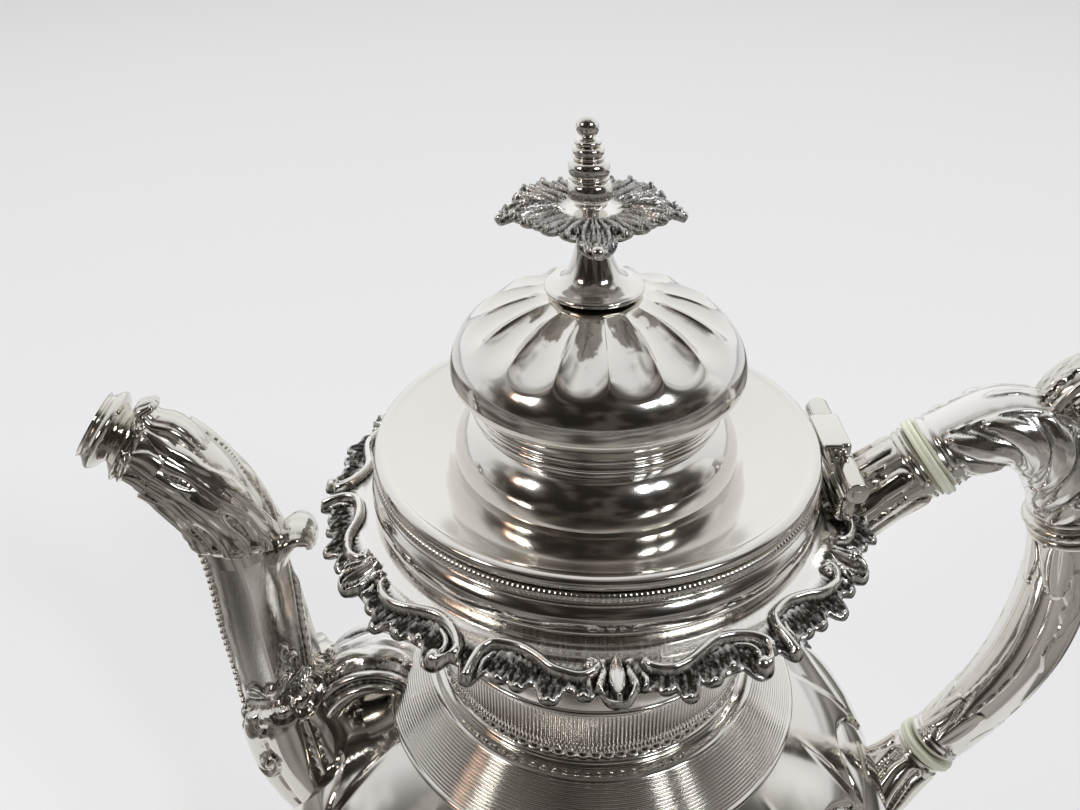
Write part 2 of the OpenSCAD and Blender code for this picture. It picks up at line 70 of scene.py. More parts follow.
bl_info = {
    "name": "Silver coffee pot",
    "version": (1, 0, 0),
    "blender": (4, 5, 0),
    "location": "View3D > Sidebar > Coffee pot",
    "description": "Builds a chased silver coffee pot with a cast spout and an insulated handle",
    "category": "Add Mesh",
}

MM = 0.001
WALL = 1.2
LID_Z = 196.0
COLLAR_TOP = 182.9
FRONT = -89.0


# ---------------------------------------------------------------- curves and relief


def through(points, count=40):
    """A Catmull-Rom curve through the points, as evenly spread points."""
    p = np.asarray(points, float)
    q = np.vstack([p[:1], p, p[-1:]])
    t = np.linspace(0, len(p) - 1, max(count * 3, 8 * len(p)))
    i = np.minimum(t.astype(int), len(p) - 2)
    f = (t - i)[:, None]
    a, b, c, d = q[i], q[i + 1], q[i + 2], q[i + 3]
    dense = 0.5 * (2 * b + (c - a) * f + (2 * a - 5 * b + 4 * c - d) * f**2
                   + (3 * b - a - 3 * c + d) * f**3)
    gaps = np.linalg.norm(np.diff(dense[:, :2], axis=0), axis=1)
    run = np.concatenate([[0], np.cumsum(gaps)])
    even = np.linspace(0, run[-1], count)
    return np.column_stack([np.interp(even, run, dense[:, k]) for k in range(p.shape[1])])


def straight(points, step):
    """The straight-sided outline through the points, cut into pieces no longer than step."""
    out = [np.asarray(points[0], float)]
    for a, b in zip(points, points[1:]):
        a, b = np.asarray(a, float), np.asarray(b, float)
        n = max(1, int(math.ceil(np.linalg.norm(b - a) / step)))
        out += [a + (b - a) * k / n for k in range(1, n + 1)]
    return np.array(out)


def arc(cx, cy, rx, ry, start, end, count):
    """Points on an ellipse, angles in degrees."""
    t = np.radians(np.linspace(start, end, count))
    return np.column_stack([cx + rx * np.cos(t), cy + ry * np.sin(t)])


def spiral(cx, cy, radius, turns, start, hand=1, count=28):
    """Points of a scroll that winds in to its eye."""
    t = np.linspace(0, 1, count)
    r = radius * (1 - 0.82 * t)
    a = math.radians(start) + hand * 2 * math.pi * turns * t
    return np.column_stack([cx + r * np.cos(a), cy + r * np.sin(a)])


class Relief:
    """Raised work on a sheet laid out flat: x and y in mm, h the height in mm."""

    def __init__(self, x, y):
        self.shape = x.shape
        self.x, self.y = x.ravel(), y.ravel()
        self.h = np.zeros(self.x.size)

    def nearest(self, line, reach):
        """Points within reach of a line: their index, distance, place along it and side."""
        lo, hi = line.min(0) - reach, line.max(0) + reach
        m = np.flatnonzero((self.x > lo[0]) & (self.x < hi[0]) & (self.y > lo[1]) & (self.y < hi[1]))
        x, y = self.x[m], self.y[m]
        best = np.full(m.size, 1e9)
        along = np.zeros(m.size)
        side = np.zeros(m.size)
        step = np.linalg.norm(np.diff(line, axis=0), axis=1)
        run = np.concatenate([[0], np.cumsum(step)])
        for k in range(len(line) - 1):
            (ax, ay), (bx, by) = line[k], line[k + 1]
            dx, dy, n = bx - ax, by - ay, max(step[k], 1e-9)
            t = np.clip(((x - ax) * dx + (y - ay) * dy) / n**2, 0, 1)
            d = np.hypot(x - ax - t * dx, y - ay - t * dy)
            near = d < best
            best[near] = d[near]
            along[near] = (run[k] + t[near] * step[k]) / run[-1]
            side[near] = np.sign(dx * (y - ay) - dy * (x - ax))[near]
        keep = best < reach
        return m[keep], best[keep], along[keep], side[keep]

    def ridge(self, points, width, height, ends=(0.7, 0.7), curve=True, base=0.0):
        """A raised rounded bar. ends are its width at each end, as parts of width."""
        line = through(points, 12 + 5 * len(points)) if curve else np.asarray(points, float)
        m, d, t, _ = self.nearest(line, width)
        w = width * np.interp(t, [0, 0.5, 1], [ends[0], 1, ends[1]])
        bump = height * np.sqrt(np.clip(1 - (d / w) ** 2, 0, 1)) * np.interp(w / width, [0, 1], [0.4, 1])
        self.h[m] = np.maximum(self.h[m], base + bump)

    def groove(self, points, width, depth, curve=True):
        """A chased line cut into whatever is there."""
        line = through(points, 12 + 5 * len(points)) if curve else np.asarray(points, float)
        m, d, t, _ = self.nearest(line, width)
        fade = np.sqrt(np.clip(np.minimum(t, 1 - t) * 8, 0, 1))
        self.h[m] -= depth * fade * np.clip(1 - (d / width) ** 2, 0, 1)

    def bead(self, x, y, radius, height, base=0.0):
        """A round bead."""
        d = np.hypot(self.x - x, self.y - y)
        m = d < radius
        self.h[m] = np.maximum(self.h[m], base + height * np.sqrt(1 - (d[m] / radius) ** 2))

    def leaf(self, points, width, height, vein=0.45, notches=0, base=0.0, tip=0.15):
        """A leaf blade along its midrib, with a sunk vein and notched sides."""
        line = through(points, 12 + 5 * len(points))
        m, d, t, side = self.nearest(line, width)
        w = width * np.clip(np.sin(np.pi * np.clip(0.08 + 0.92 * t, 0, 1)) ** 0.6, tip, 1)
        if notches:
            w = w * (1 - 0.28 * np.abs(np.sin(np.pi * notches * t)) ** 3)
        u = np.clip(d / np.maximum(w, 1e-6), 0, 1)
        cut = 1 - vein * np.exp(-((d / (0.22 * width)) ** 2))
        lift = height * np.sqrt(1 - u**2) * cut
        if notches:
            lift *= 1 - 0.22 * np.abs(np.sin(np.pi * notches * (t - 0.25 * u))) ** 4
        self.h[m] = np.maximum(self.h[m], base * (u < 1) + lift)

    def scroll(self, x, y, radius, turns, start, hand, width, height):
        """A scroll with a bead for its eye."""
        line = spiral(x, y, radius, turns, start, hand)
        m, d, t, _ = self.nearest(line, width)
        w = width * np.interp(t, [0, 1], [1, 0.6])
        self.h[m] = np.maximum(self.h[m], height * np.sqrt(np.clip(1 - (d / w) ** 2, 0, 1)))
        self.bead(x, y, radius * 0.3, height * 1.1)

    def grid(self):
        return self.h.reshape(self.shape)


def hollows(height, reach):
    """0 on open work and 1 in the hollows, from how far each point lies below its neighbours."""
    blur = height.copy()
    for _ in range(reach):
        blur = (blur + np.roll(blur, 1, 0) + np.roll(blur, -1, 0)
                + np.roll(blur, 1, 1) + np.roll(blur, -1, 1)) / 5
    return np.clip((blur - height) * 4.5, 0, 1)


# ---------------------------------------------------------------- meshes


def sheet(name, grid, wrap_u, wrap_v, hollow=None, crease=38.0, weld=False):
    """One mesh over a grid of points in mm. hollow is stored for the tarnish."""
    u, v = grid.shape[:2]
    number = np.arange(u * v).reshape(u, v)
    a = number if wrap_u else number[:-1]
    b = np.roll(number, -1, 0) if wrap_u else number[1:]
    quad = np.stack([a, b, np.roll(b, -1, 1), np.roll(a, -1, 1)], -1)
    if not wrap_v:
        quad = quad[:, :-1]
    quad = quad.reshape(-1, 4).astype(np.int32)
    mesh = bpy.data.meshes.new(name)
    mesh.vertices.add(u * v)
    mesh.vertices.foreach_set("co", (grid.reshape(-1, 3) * MM).astype(np.float32).ravel())
    mesh.loops.add(quad.size)
    mesh.loops.foreach_set("vertex_index", quad.ravel())
    mesh.polygons.add(len(quad))
    mesh.polygons.foreach_set("loop_start", np.arange(0, quad.size, 4, dtype=np.int32))
    mesh.update(calc_edges=True)
    mark = mesh.attributes.new("hollow", "FLOAT", "POINT")
    if hollow is not None:
        mark.data.foreach_set("value", hollow.astype(np.float32).ravel())
    if weld:
        work = bmesh.new()
        work.from_mesh(mesh)
        bmesh.ops.remove_doubles(work, verts=work.verts, dist=2e-6)
        bmesh.ops.recalc_face_normals(work, faces=work.faces)
        work.to_mesh(mesh)
        work.free()
    mesh.validate()
    mesh.shade_smooth()
    mesh.set_sharp_from_angle(angle=math.radians(crease))
    piece = bpy.data.objects.new(name, mesh)
    bpy.context.scene.collection.objects.link(piece)
    return piece


def join_sheets(name, parts):
    """Joins several pieces into one object."""
    work = bmesh.new()
    layer = work.verts.layers.float.new("hollow")
    for part in parts:
        work.from_mesh(part.data)
    mesh = bpy.data.meshes.new(name)
    work.to_mesh(mesh)
    work.free()
    for part in parts:
        old = part.data
        bpy.data.objects.remove(part)
        bpy.data.meshes.remove(old)
    mesh.set_sharp_from_angle(angle=math.radians(38))
    piece = bpy.data.objects.new(name, mesh)
    bpy.context.scene.collection.objects.link(piece)
    del layer
    return piece


def dress(piece, finish, body, *nodes):
    """Gives a piece its finish, its body and the frame nodes it stands for."""
    piece.data.materials.clear()
    piece.data.materials.append(FINISHES[finish]())
    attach(piece, body)
    if nodes:
        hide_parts(*nodes)
    return piece


def shell(outer, wall):
    """Closed profile of a spun sheet: the outer line out, the inner line back."""
    outer = np.asarray(outer, float)
    d = np.gradient(outer, axis=0)
    n = np.column_stack([d[:, 1], -d[:, 0]])
    n /= np.maximum(np.linalg.norm(n, axis=1), 1e-9)[:, None]
    inner = outer - n * wall
    inner[:, 0] = np.maximum(inner[:, 0], 0)
    return outer, inner[::-1]


def turned(name, outer, inner, turns=256, relief=None, follow=1.0, poles=False, crease=38.0, reach=3):
    """A lathe-turned piece. relief(angle, line, place) gives the height on the outer line."""
    outer, inner = np.asarray(outer, float), np.asarray(inner, float)
    angle = np.radians(np.arange(turns) * 360.0 / turns)[:, None]
    d = np.gradient(outer, axis=0)
    n = np.column_stack([d[:, 1], -d[:, 0]])
    n /= np.maximum(np.linalg.norm(n, axis=1), 1e-9)[:, None]
    gaps = np.linalg.norm(np.diff(outer, axis=0), axis=1)
    place = np.concatenate([[0], np.cumsum(gaps)])[None, :]
    h = np.zeros((turns, len(outer)))
    if relief:
        h = h + relief(angle, outer, place)
    r = outer[:, 0] + h * n[:, 0]
    z = outer[:, 1] + h * n[:, 1]
    dark = hollows(h, reach) if relief else h
    if len(inner):
        match = np.argmin(np.hypot(inner[:, None, 0] - outer[None, :, 0],
                                   inner[:, None, 1] - outer[None, :, 1]), axis=1)
        r = np.hstack([r, inner[:, 0] + follow * h[:, match] * n[match, 0]])
        z = np.hstack([z, inner[:, 1] + follow * h[:, match] * n[match, 1]])
        dark = np.hstack([dark, dark[:, match] * 0 + 0.35])
    grid = np.stack([r * np.cos(angle), r * np.sin(angle), z], -1)
    return sheet(name, grid, True, not poles, dark, crease, weld=poles)


def headings(path):
    """Direction of a path in the XZ plane, in radians."""
    d = np.gradient(path[:, :2], axis=0)
    return np.unwrap(np.arctan2(d[:, 1], d[:, 0]))


def swept(name, path, around=72, wall=WALL, relief=None, section=None, tilt=None, crease=38.0,
          closed=False, reach=3, lean=None):
    """A piece swept along a path of (x, z, half width across, half width along Y)."""
    path = np.asarray(path, float)
    angle = np.radians(np.arange(around) * 360.0 / around)[None, :]
    head = headings(path)[:, None] if tilt is None else np.asarray(tilt, float)[:, None]
    gaps = np.linalg.norm(np.diff(path[:, :2], axis=0), axis=1)
    place = np.concatenate([[0], np.cumsum(gaps)])[:, None]
    k = np.ones((len(path), around)) if section is None else section(place, angle)
    h = np.zeros(k.shape) if relief is None else relief(place, angle, path)
    dark = hollows(h, reach)
    shift = np.zeros(k.shape) if lean is None else lean(place, angle) + 0 * k

    def rings(extra):
        u = (path[:, 2:3] * k + extra) * np.cos(angle)
        v = (path[:, 3:4] * k + extra) * np.sin(angle)
        return np.stack([path[:, :1] - u * np.sin(head) + shift * np.cos(head), v + 0 * u,
                         path[:, 1:2] + u * np.cos(head) + shift * np.sin(head)], -1)

    outer = rings(h)
    if closed:
        return sheet(name, outer, False, True, dark, crease, weld=True)
    last = len(path) - 1
    back = np.unique(np.r_[np.arange(0, last, 6), last])[::-1]
    inner = rings(-wall)[back]
    grid = np.concatenate([outer, inner])
    dark = np.concatenate([dark, dark[back] * 0 + 0.4])
    return sheet(name, grid, True, True, dark, crease)


def rounded_ends(path, start=True, end=True):
    """Adds rings that close the ends of a solid sweep in a dome."""
    path = np.asarray(path, float)
    head = headings(path)
    rows = [path]
    steps = np.radians([18, 36, 54, 72, 90])
    for at, on, sign in ((0, start, -1), (-1, end, 1)):
        if not on:
            continue
        x, z, a, b = path[at]
        cap = [[x + sign * a * math.sin(s) * math.cos(head[at]),
                z + sign * a * math.sin(s) * math.sin(head[at]),
                max(a * math.cos(s), 1e-4), max(b * math.cos(s), 1e-4)] for s in steps]
        rows = [np.array(cap[::-1])] + rows if at == 0 else rows + [np.array(cap)]
    whole = np.vstack(rows)
    turn = np.concatenate([[head[0]] * (5 if start else 0), head, [head[-1]] * (5 if end else 0)])
    return whole, turn


def ball(work, centre, radius, rings=10):
    """Adds a turned bead to a mesh being built."""
    bmesh.ops.create_uvsphere(work, u_segments=2 * rings, v_segments=rings, radius=radius * MM,
                              matrix=Matrix.Translation(Vector(centre) * MM))


# ---------------------------------------------------------------- finishes


def socket_group(name, inputs, outputs):
    """A shader node group with named sockets, and its input and output nodes."""
    group = bpy.data.node_groups.new(name, "ShaderNodeTree")
    for label, kind, value in inputs:
        item = group.interface.new_socket(name=label, in_out="INPUT", socket_type=kind)
        if value is not None:
            item.default_value = value
    for label, kind in outputs:
        group.interface.new_socket(name=label, in_out="OUTPUT", socket_type=kind)
    return group, group.nodes.new("NodeGroupInput"), group.nodes.new("NodeGroupOutput")


def node(tree, kind, **values):
    """Adds a node and sets its properties, or its inputs by name."""
    made = tree.nodes.new(kind)
    for key, value in values.items():
        if hasattr(made, key):
            setattr(made, key, value)
        else:
            made.inputs[key.replace("_", " ")].default_value = value
    return made


def tarnish_group():
    """Dark oxide in the hollows, broken up by wear."""
    found = bpy.data.node_groups.get("hollow_tarnish")
    if found:
        return found
    group, given, out = socket_group(
        "hollow_tarnish",
        [("Grain Size", "NodeSocketFloat", 900.0), ("Amount", "NodeSocketFloat", 1.0)],
        [("Mask", "NodeSocketFloat")])
    link = group.links.new
    place = node(group, "ShaderNodeTexCoord")
    mark = node(group, "ShaderNodeAttribute", attribute_name="hollow")
    grain = node(group, "ShaderNodeTexNoise", Detail=4.0, Roughness=0.65)
    link(place.outputs["Object"], grain.inputs["Vector"])
    link(given.outputs["Grain Size"], grain.inputs["Scale"])
    spread = node(group, "ShaderNodeMapRange", From_Min=0.3, From_Max=0.7, To_Min=0.45, To_Max=1.25)
    link(grain.outputs["Fac"], spread.inputs["Value"])
    mix = node(group, "ShaderNodeMath", operation="MULTIPLY")
    link(mark.outputs["Fac"], mix.inputs[0])
    link(spread.outputs["Result"], mix.inputs[1])
    scale = node(group, "ShaderNodeMath", operation="MULTIPLY", use_clamp=True)
    link(mix.outputs[0], scale.inputs[0])
    link(given.outputs["Amount"], scale.inputs[1])
    link(scale.outputs[0], out.inputs["Mask"])
    return group


def polish_group():
    """Marks of hand polishing: soft unevenness and fine hairlines."""
    found = bpy.data.node_groups.get("hand_polish")
    if found:
        return found
    group, given, out = socket_group(
        "hand_polish",
        [("Wave Size", "NodeSocketFloat", 60.0), ("Hairlines", "NodeSocketFloat", 0.5)],
        [("Smear", "NodeSocketFloat"), ("Height", "NodeSocketFloat")])
    link = group.links.new
    place = node(group, "ShaderNodeTexCoord")
    wave = node(group, "ShaderNodeTexNoise", Detail=2.0, Roughness=0.45)
    link(place.outputs["Object"], wave.inputs["Vector"])
    link(given.outputs["Wave Size"], wave.inputs["Scale"])
    stretch = node(group, "ShaderNodeMapping", Rotation=(0.5, 0.3, 0.9), Scale=(2600.0, 160.0, 900.0))
    link(place.outputs["Object"], stretch.inputs["Vector"])
    hair = node(group, "ShaderNodeTexNoise", Scale=1.0, Detail=3.0, Roughness=0.7)
    link(stretch.outputs["Vector"], hair.inputs["Vector"])
    fine = node(group, "ShaderNodeMath", operation="MULTIPLY")
    link(hair.outputs["Fac"], fine.inputs[0])
    link(given.outputs["Hairlines"], fine.inputs[1])
    both = node(group, "ShaderNodeMath", operation="ADD")
    link(wave.outputs["Fac"], both.inputs[0])
    link(fine.outputs[0], both.inputs[1])
    link(both.outputs[0], out.inputs["Height"])
    smear = node(group, "ShaderNodeMapRange", From_Min=0.35, From_Max=0.7)
    link(hair.outputs["Fac"], smear.inputs["Value"])
    link(smear.outputs["Result"], out.inputs["Smear"])
    return group


def silver(name, bright, dark, rough, smear, amount, grain, wave, bump):
    """A silver finish: bright metal, oxide in the hollows and the marks of polishing."""
    found = bpy.data.materials.get(name)
    if found:
        return found
    made = bpy.data.materials.new(name)
    made.use_nodes = True
    tree = made.node_tree
    link = tree.links.new
    metal = tree.nodes["Principled BSDF"]
    metal.inputs["Metallic"].default_value = 1.0
    oxide = node(tree, "ShaderNodeGroup", node_tree=tarnish_group())
    oxide.inputs["Grain Size"].default_value = grain
    oxide.inputs["Amount"].default_value = amount
    polish = node(tree, "ShaderNodeGroup", node_tree=polish_group())
    polish.inputs["Wave Size"].default_value = wave
    mix = node(tree, "ShaderNodeMix", data_type="RGBA")
    mix.inputs["A"].default_value = (*bright, 1)
    mix.inputs["B"].default_value = (*dark, 1)
    link(oxide.outputs["Mask"], mix.inputs["Factor"])
    link(mix.outputs["Result"], metal.inputs["Base Color"])
    dull = node(tree, "ShaderNodeMath", operation="MULTIPLY_ADD")
    dull.inputs[1].default_value = 0.38
    link(oxide.outputs["Mask"], dull.inputs[0])
    hair = node(tree, "ShaderNodeMath", operation="MULTIPLY_ADD")
    hair.inputs[1].default_value = smear
    hair.inputs[2].default_value = rough
    link(polish.outputs["Smear"], hair.inputs[0])
    link(hair.outputs[0], dull.inputs[2])
    link(dull.outputs[0], metal.inputs["Roughness"])
    relief = node(tree, "ShaderNodeBump")
    relief.inputs["Strength"].default_value = bump
    relief.inputs["Distance"].default_value = 0.0004
    link(polish.outputs["Height"], relief.inputs["Height"])
    link(relief.outputs["Normal"], metal.inputs["Normal"])
    return made


def polished_silver():
    finish = bpy.context.scene.pot_finish
    return silver("polished_silver", finish.silver, finish.oxide, 0.035, 0.05, 0.85, 700.0, 55.0, 0.035)


def cast_silver():
    finish = bpy.context.scene.pot_finish
    return silver("cast_silver", finish.silver, finish.oxide, 0.09, 0.10, 1.3, 1400.0, 320.0, 0.10)


def worn_silver():
    finish = bpy.context.scene.pot_finish
    return silver("worn_silver", finish.silver, finish.oxide, 0.11, 0.13, 1.2, 900.0, 120.0, 0.10)


def plain_silver():
    finish = bpy.context.scene.pot_finish
    return silver("plain_silver", finish.silver, finish.oxide, 0.22, 0.16, 0.8, 900.0, 160.0, 0.12)


def insulator():
    """Old pale ivory, greenish and stained, with a soft gloss."""
    found = bpy.data.materials.get("insulator")
    if found:
        return found
    made = bpy.data.materials.new("insulator")
    made.use_nodes = True
    tree = made.node_tree
    link = tree.links.new
    skin = tree.nodes["Principled BSDF"]
    skin.inputs["Subsurface Weight"].default_value = 0.08
    skin.inputs["Subsurface Radius"].default_value = (0.002, 0.002, 0.001)
    skin.inputs["Coat Weight"].default_value = 0.1
    place = node(tree, "ShaderNodeTexCoord")
    stain = node(tree, "ShaderNodeTexNoise", Scale=160.0, Detail=5.0, Roughness=0.6)
    link(place.outputs["Object"], stain.inputs["Vector"])
    ramp = node(tree, "ShaderNodeValToRGB")
    ramp.color_ramp.elements[0].position = 0.34
    ramp.color_ramp.elements[0].color = (*bpy.context.scene.pot_finish.stain, 1)
    ramp.color_ramp.elements[1].position = 0.62
    ramp.color_ramp.elements[1].color = (*bpy.context.scene.pot_finish.ivory, 1)
    link(stain.outputs["Fac"], ramp.inputs["Fac"])
    link(ramp.outputs["Color"], skin.inputs["Base Color"])
    rough = node(tree, "ShaderNodeMapRange", From_Min=0.3, From_Max=0.7, To_Min=0.28, To_Max=0.5)
    link(stain.outputs["Fac"], rough.inputs["Value"])
    link(rough.outputs["Result"], skin.inputs["Roughness"])
    relief = node(tree, "ShaderNodeBump", Strength=0.2, Distance=0.0003)
    link(stain.outputs["Fac"], relief.inputs["Height"])
    link(relief.outputs["Normal"], skin.inputs["Normal"])
    return made


def carried_on(path, tilt, run, steps=16, front=True):
    """A path made longer at one end, straight on."""
    k = 0 if front else -1
    far = np.linspace(run, run / steps, steps)[:, None] if front else np.linspace(run / steps, run, steps)[:, None]
    ahead = np.array([math.cos(tilt[k]), math.sin(tilt[k])]) * (-1 if front else 1)
    rows = np.hstack([path[k, :2] + far * ahead, np.repeat(path[k:k + 1, 2:] if front else path[-1:, 2:], steps, 0)])
    more = np.full(steps, tilt[k])
    if front:
        return np.vstack([rows, path]), np.concatenate([more, tilt])
    return np.vstack([path, rows]), np.concatenate([tilt, more])


def tucked(piece, radius):
    """Keeps the hidden root of a casting inside the wall it is soldered to."""
    place = np.empty(len(piece.data.vertices) * 3)
    piece.data.vertices.foreach_get("co", place)
    place = place.reshape(-1, 3)
    wide = np.maximum(np.hypot(place[:, 0], place[:, 1]), 1e-6)
    place[:, :2] *= np.maximum(1, radius(place[:, 2] / MM) * MM / wide)[:, None]
    piece.data.vertices.foreach_set("co", place.ravel())
    piece.data.update()
    return piece


LEAN = 0.06


def leaned(piece):
    """The finial stands a little off the upright, as on the worn original."""
    place = np.empty(len(piece.data.vertices) * 3)
    piece.data.vertices.foreach_get("co", place)
    place = place.reshape(-1, 3) / MM
    z = place[:, 2]
    place[:, 0] -= (0.9 + LEAN * np.clip(z - LID_Z - 32, 0, None)) * smooth_step(LID_Z + 30.4, LID_Z + 32.4, z)
    piece.data.vertices.foreach_set("co", (place * MM).ravel())
    piece.data.update()
    return piece


FINISHES = {
    "polished_silver": polished_silver,
    "cast_silver": cast_silver,
    "worn_silver": worn_silver,
    "plain_silver": plain_silver,
    "insulator": insulator,
}


# ---------------------------------------------------------------- paths shared by pieces

HANDLE = np.array([
    (41.5, 164, 10, 9.4), (50, 171.6, 8.8, 8.4), (58.3, 178.9, 7.9, 7.8), (65, 184.4, 7.8, 7.8),
    (69.75, 188.45, 7.7, 7.7), (75.6, 192.7, 7.8, 7.8), (82.8, 196.1, 8.1, 8.1),
    (89.6, 194.8, 8.2, 8.2), (95.4, 190.2, 8.2, 8), (99.8, 183, 7.7, 7.6), (103.4, 172.6, 7.3, 7.3),
    (105.8, 160, 7.3, 7.2), (106.6, 146.8, 7.7, 7.4), (105.4, 133.2, 7.8, 7.5),
    (102.4, 122, 7.6, 7.3), (98.2, 112.4, 7.2, 7), (93.6, 103.6, 6.7, 6.6), (89.1, 96.4, 6.4, 6.3),
    (84.6, 89, 6.5, 6.5), (79.8, 81.6, 7.6, 8), (73.6, 72.2, 9.4, 10.4)])

SPOUT = np.array([
    (-56, 80, 14, 15), (-63, 94, 14.5, 15.5), (-69.6, 107.5, 13.6, 14.4), (-73.6, 121, 11, 12),
    (-75, 134, 10, 10.4), (-75.9, 145.5, 9.7, 9.5), (-76.4, 156.5, 9.1, 8.8),
    (-77.4, 166, 8.5, 8.2), (-79.7, 175.4, 8, 7.7), (-83.6, 183.6, 8.1, 7.7),
    (-88.2, 189.4, 8.0, 7.7), (-93, 193.3, 7.6, 7.4), (-97.6, 196.1, 7.5, 7.4),
    (-101.4, 198.6, 7.0, 6.9)])


def stretch(stations, start, end, per=14):
    """The part of a path between two stations, which may be fractions, in fine steps."""
    fine = 64
    q = np.vstack([stations[:1], stations, stations[-1:]])
    t = np.linspace(0, len(stations) - 1, fine * (len(stations) - 1) + 1)
    i = np.minimum(t.astype(int), len(stations) - 2)
    f = (t - i)[:, None]
    a, b, c, d = q[i], q[i + 1], q[i + 2], q[i + 3]
    dense = 0.5 * (2 * b + (c - a) * f + (2 * a - 5 * b + 4 * c - d) * f**2
                   + (3 * b - a - 3 * c + d) * f**3)
    head = headings(dense)
    want = np.linspace(start, end, int(per * (end - start)) + 1)
    rows = np.column_stack([np.interp(want, t, dense[:, k]) for k in range(4)])
    return rows, np.interp(want, t, head)


def belly_profile(count=150, up_to=124.4):
    """Outer line of the belly from the middle of its underside to the shoulder."""
    low = arc(0, 72, 78, 46, -90, 0, count // 2)
    high = arc(0, 72, 78, 66, 0, math.degrees(math.asin((up_to - 72) / 66)), count // 2)
    return np.vstack([low, high[1:]])


def whole(angle, line):
    """The relief grid of a turned piece: distance round it from the front, and place along it."""
    turn = (np.degrees(angle) - FRONT) % 360.0
    return turn, np.broadcast_to(line[None, :, 1], (angle.shape[0], len(line)))


def sides(place, angle, path):
    """Relief grid of a swept piece, alike on both sides: distance from its outer edge, and place."""
    girth = (path[:, 2:3] + path[:, 3:4]) / 2
    q = np.minimum(angle, 2 * math.pi - angle) * girth
    return q, np.broadcast_to(place, q.shape).copy()


def seam(place, q, outer, inner, start, end):
    """Place of a slanted seam at each distance from the outer edge, given as stations."""
    at = (outer + (inner - outer) * np.clip(q / 36.0, 0, 1) - start) / (end - start)
    rows = np.linspace(0, 1, place.shape[0])
    return np.interp(at, rows, place[:, 0])


def around_outer(place, angle, path):
    """Relief grid of a swept piece, zero on its outer edge, with the camera side positive."""
    girth = (path[:, 2:3] + path[:, 3:4]) / 2
    x = -np.where(angle > math.pi, angle - 2 * math.pi, angle) * girth
    return x, np.broadcast_to(place, x.shape).copy()


def smooth_step(a, b, x):
    t = np.clip((x - a) / (b - a), 0, 1)
    return t * t * (3 - 2 * t)


def corners(degrees, amount):
    """Section of a facetted tube with edges at the given angles."""
    edges = np.radians(list(degrees) + [degrees[0] + 360])

    def section(place, angle):
        k = np.ones(angle.shape)
        for a, b in zip(edges, edges[1:]):
            t = (angle - a) % (2 * math.pi)
            inside = t < b - a
            half = (b - a) / 2
            flat = math.cos(half) / np.cos(t - half)
            k = np.where(inside, 1 + amount * (flat - 1), k)
        return np.broadcast_to(k, (place.shape[0], angle.shape[1]))

    return section


def barrel(name, x, z, y0, y1, r, bore=0.0):
    """A knuckle or pin lying along Y, with rounded ends."""
    e = min(0.35, r * 0.3)
    outer = np.vstack([[[bore, y0]], arc(r - e, y0 + e, e, e, -90, 0, 6), arc(r - e, y1 - e, e, e, 0, 90, 6),
                       [[bore, y1]]])
    if bore:
        outer = np.vstack([outer, [[bore, (y0 + y1) / 2]]])
    turn = np.radians(np.arange(48) * 7.5)[:, None]
    rr, yy = outer[None, :, 0], outer[None, :, 1]
    grid = np.stack([x + rr * np.sin(turn), yy + 0 * turn, z + rr * np.cos(turn)], -1)
    return sheet(name, grid, True, bool(bore), None, 30, weld=not bore)


def block(name, x, y, z, edge=0.35):
    """A small rounded block between the given limits."""
    work = bmesh.new()
    size = [v[1] - v[0] for v in (x, y, z)]
    middle = [(v[1] + v[0]) / 2 for v in (x, y, z)]
    bmesh.ops.create_cube(work, size=1.0, matrix=Matrix.LocRotScale(
        Vector(middle) * MM, None, Vector(size) * MM))
    bmesh.ops.bevel(work, geom=work.edges[:], offset=edge * MM, segments=4, profile=0.5, affect="EDGES")
    mesh = bpy.data.meshes.new(name)
    work.to_mesh(mesh)
    work.free()
    mesh.attributes.new("hollow", "FLOAT", "POINT")
    mesh.shade_smooth()
    mesh.set_sharp_from_angle(angle=math.radians(30))
    piece = bpy.data.objects.new(name, mesh)
    bpy.context.scene.collection.objects.link(piece)
    return piece


# ---------------------------------------------------------------- settings


class PotSizes(bpy.types.PropertyGroup):
    """Counts and depths of the chased work"""

    lobes: IntProperty(name="Belly lobes", description="Lobes round the belly", default=16, min=6)
    lobe_depth: FloatProperty(name="Lobe depth", description="Depth of the furrows between the lobes",
                              default=0.0021, unit="LENGTH")
    flutes: IntProperty(name="Dome flutes", description="Flutes round the lid dome", default=16, min=4)
    flute_depth: FloatProperty(name="Flute depth", description="Depth of a dome flute",
                               default=0.0012, unit="LENGTH")
    reeds: IntProperty(name="Shoulder reeds", description="Fine rings turned on the shoulder",
                       default=17, min=4)
    border_height: FloatProperty(name="Border relief", description="Height of the cast border work",
                                 default=0.0016, unit="LENGTH")
    bead_pitch: FloatProperty(name="Spout bead pitch", description="Distance between beads on the spout",
                              default=0.0019, unit="LENGTH")


class PotFinish(bpy.types.PropertyGroup):
    """Colours of the metal and the insulators"""

    silver: FloatVectorProperty(name="Silver", description="Colour of clean silver", subtype="COLOR",
                                default=(0.86, 0.845, 0.815))
    oxide: FloatVectorProperty(name="Oxide", description="Colour left in the hollows", subtype="COLOR",
                               default=(0.045, 0.04, 0.034))
    ivory: FloatVectorProperty(name="Ivory", description="Colour of the insulating discs",
                               subtype="COLOR", default=(0.10, 0.104, 0.045))
    stain: FloatVectorProperty(name="Stain", description="Stain on the insulating discs",
                               subtype="COLOR", default=(0.07, 0.072, 0.035))


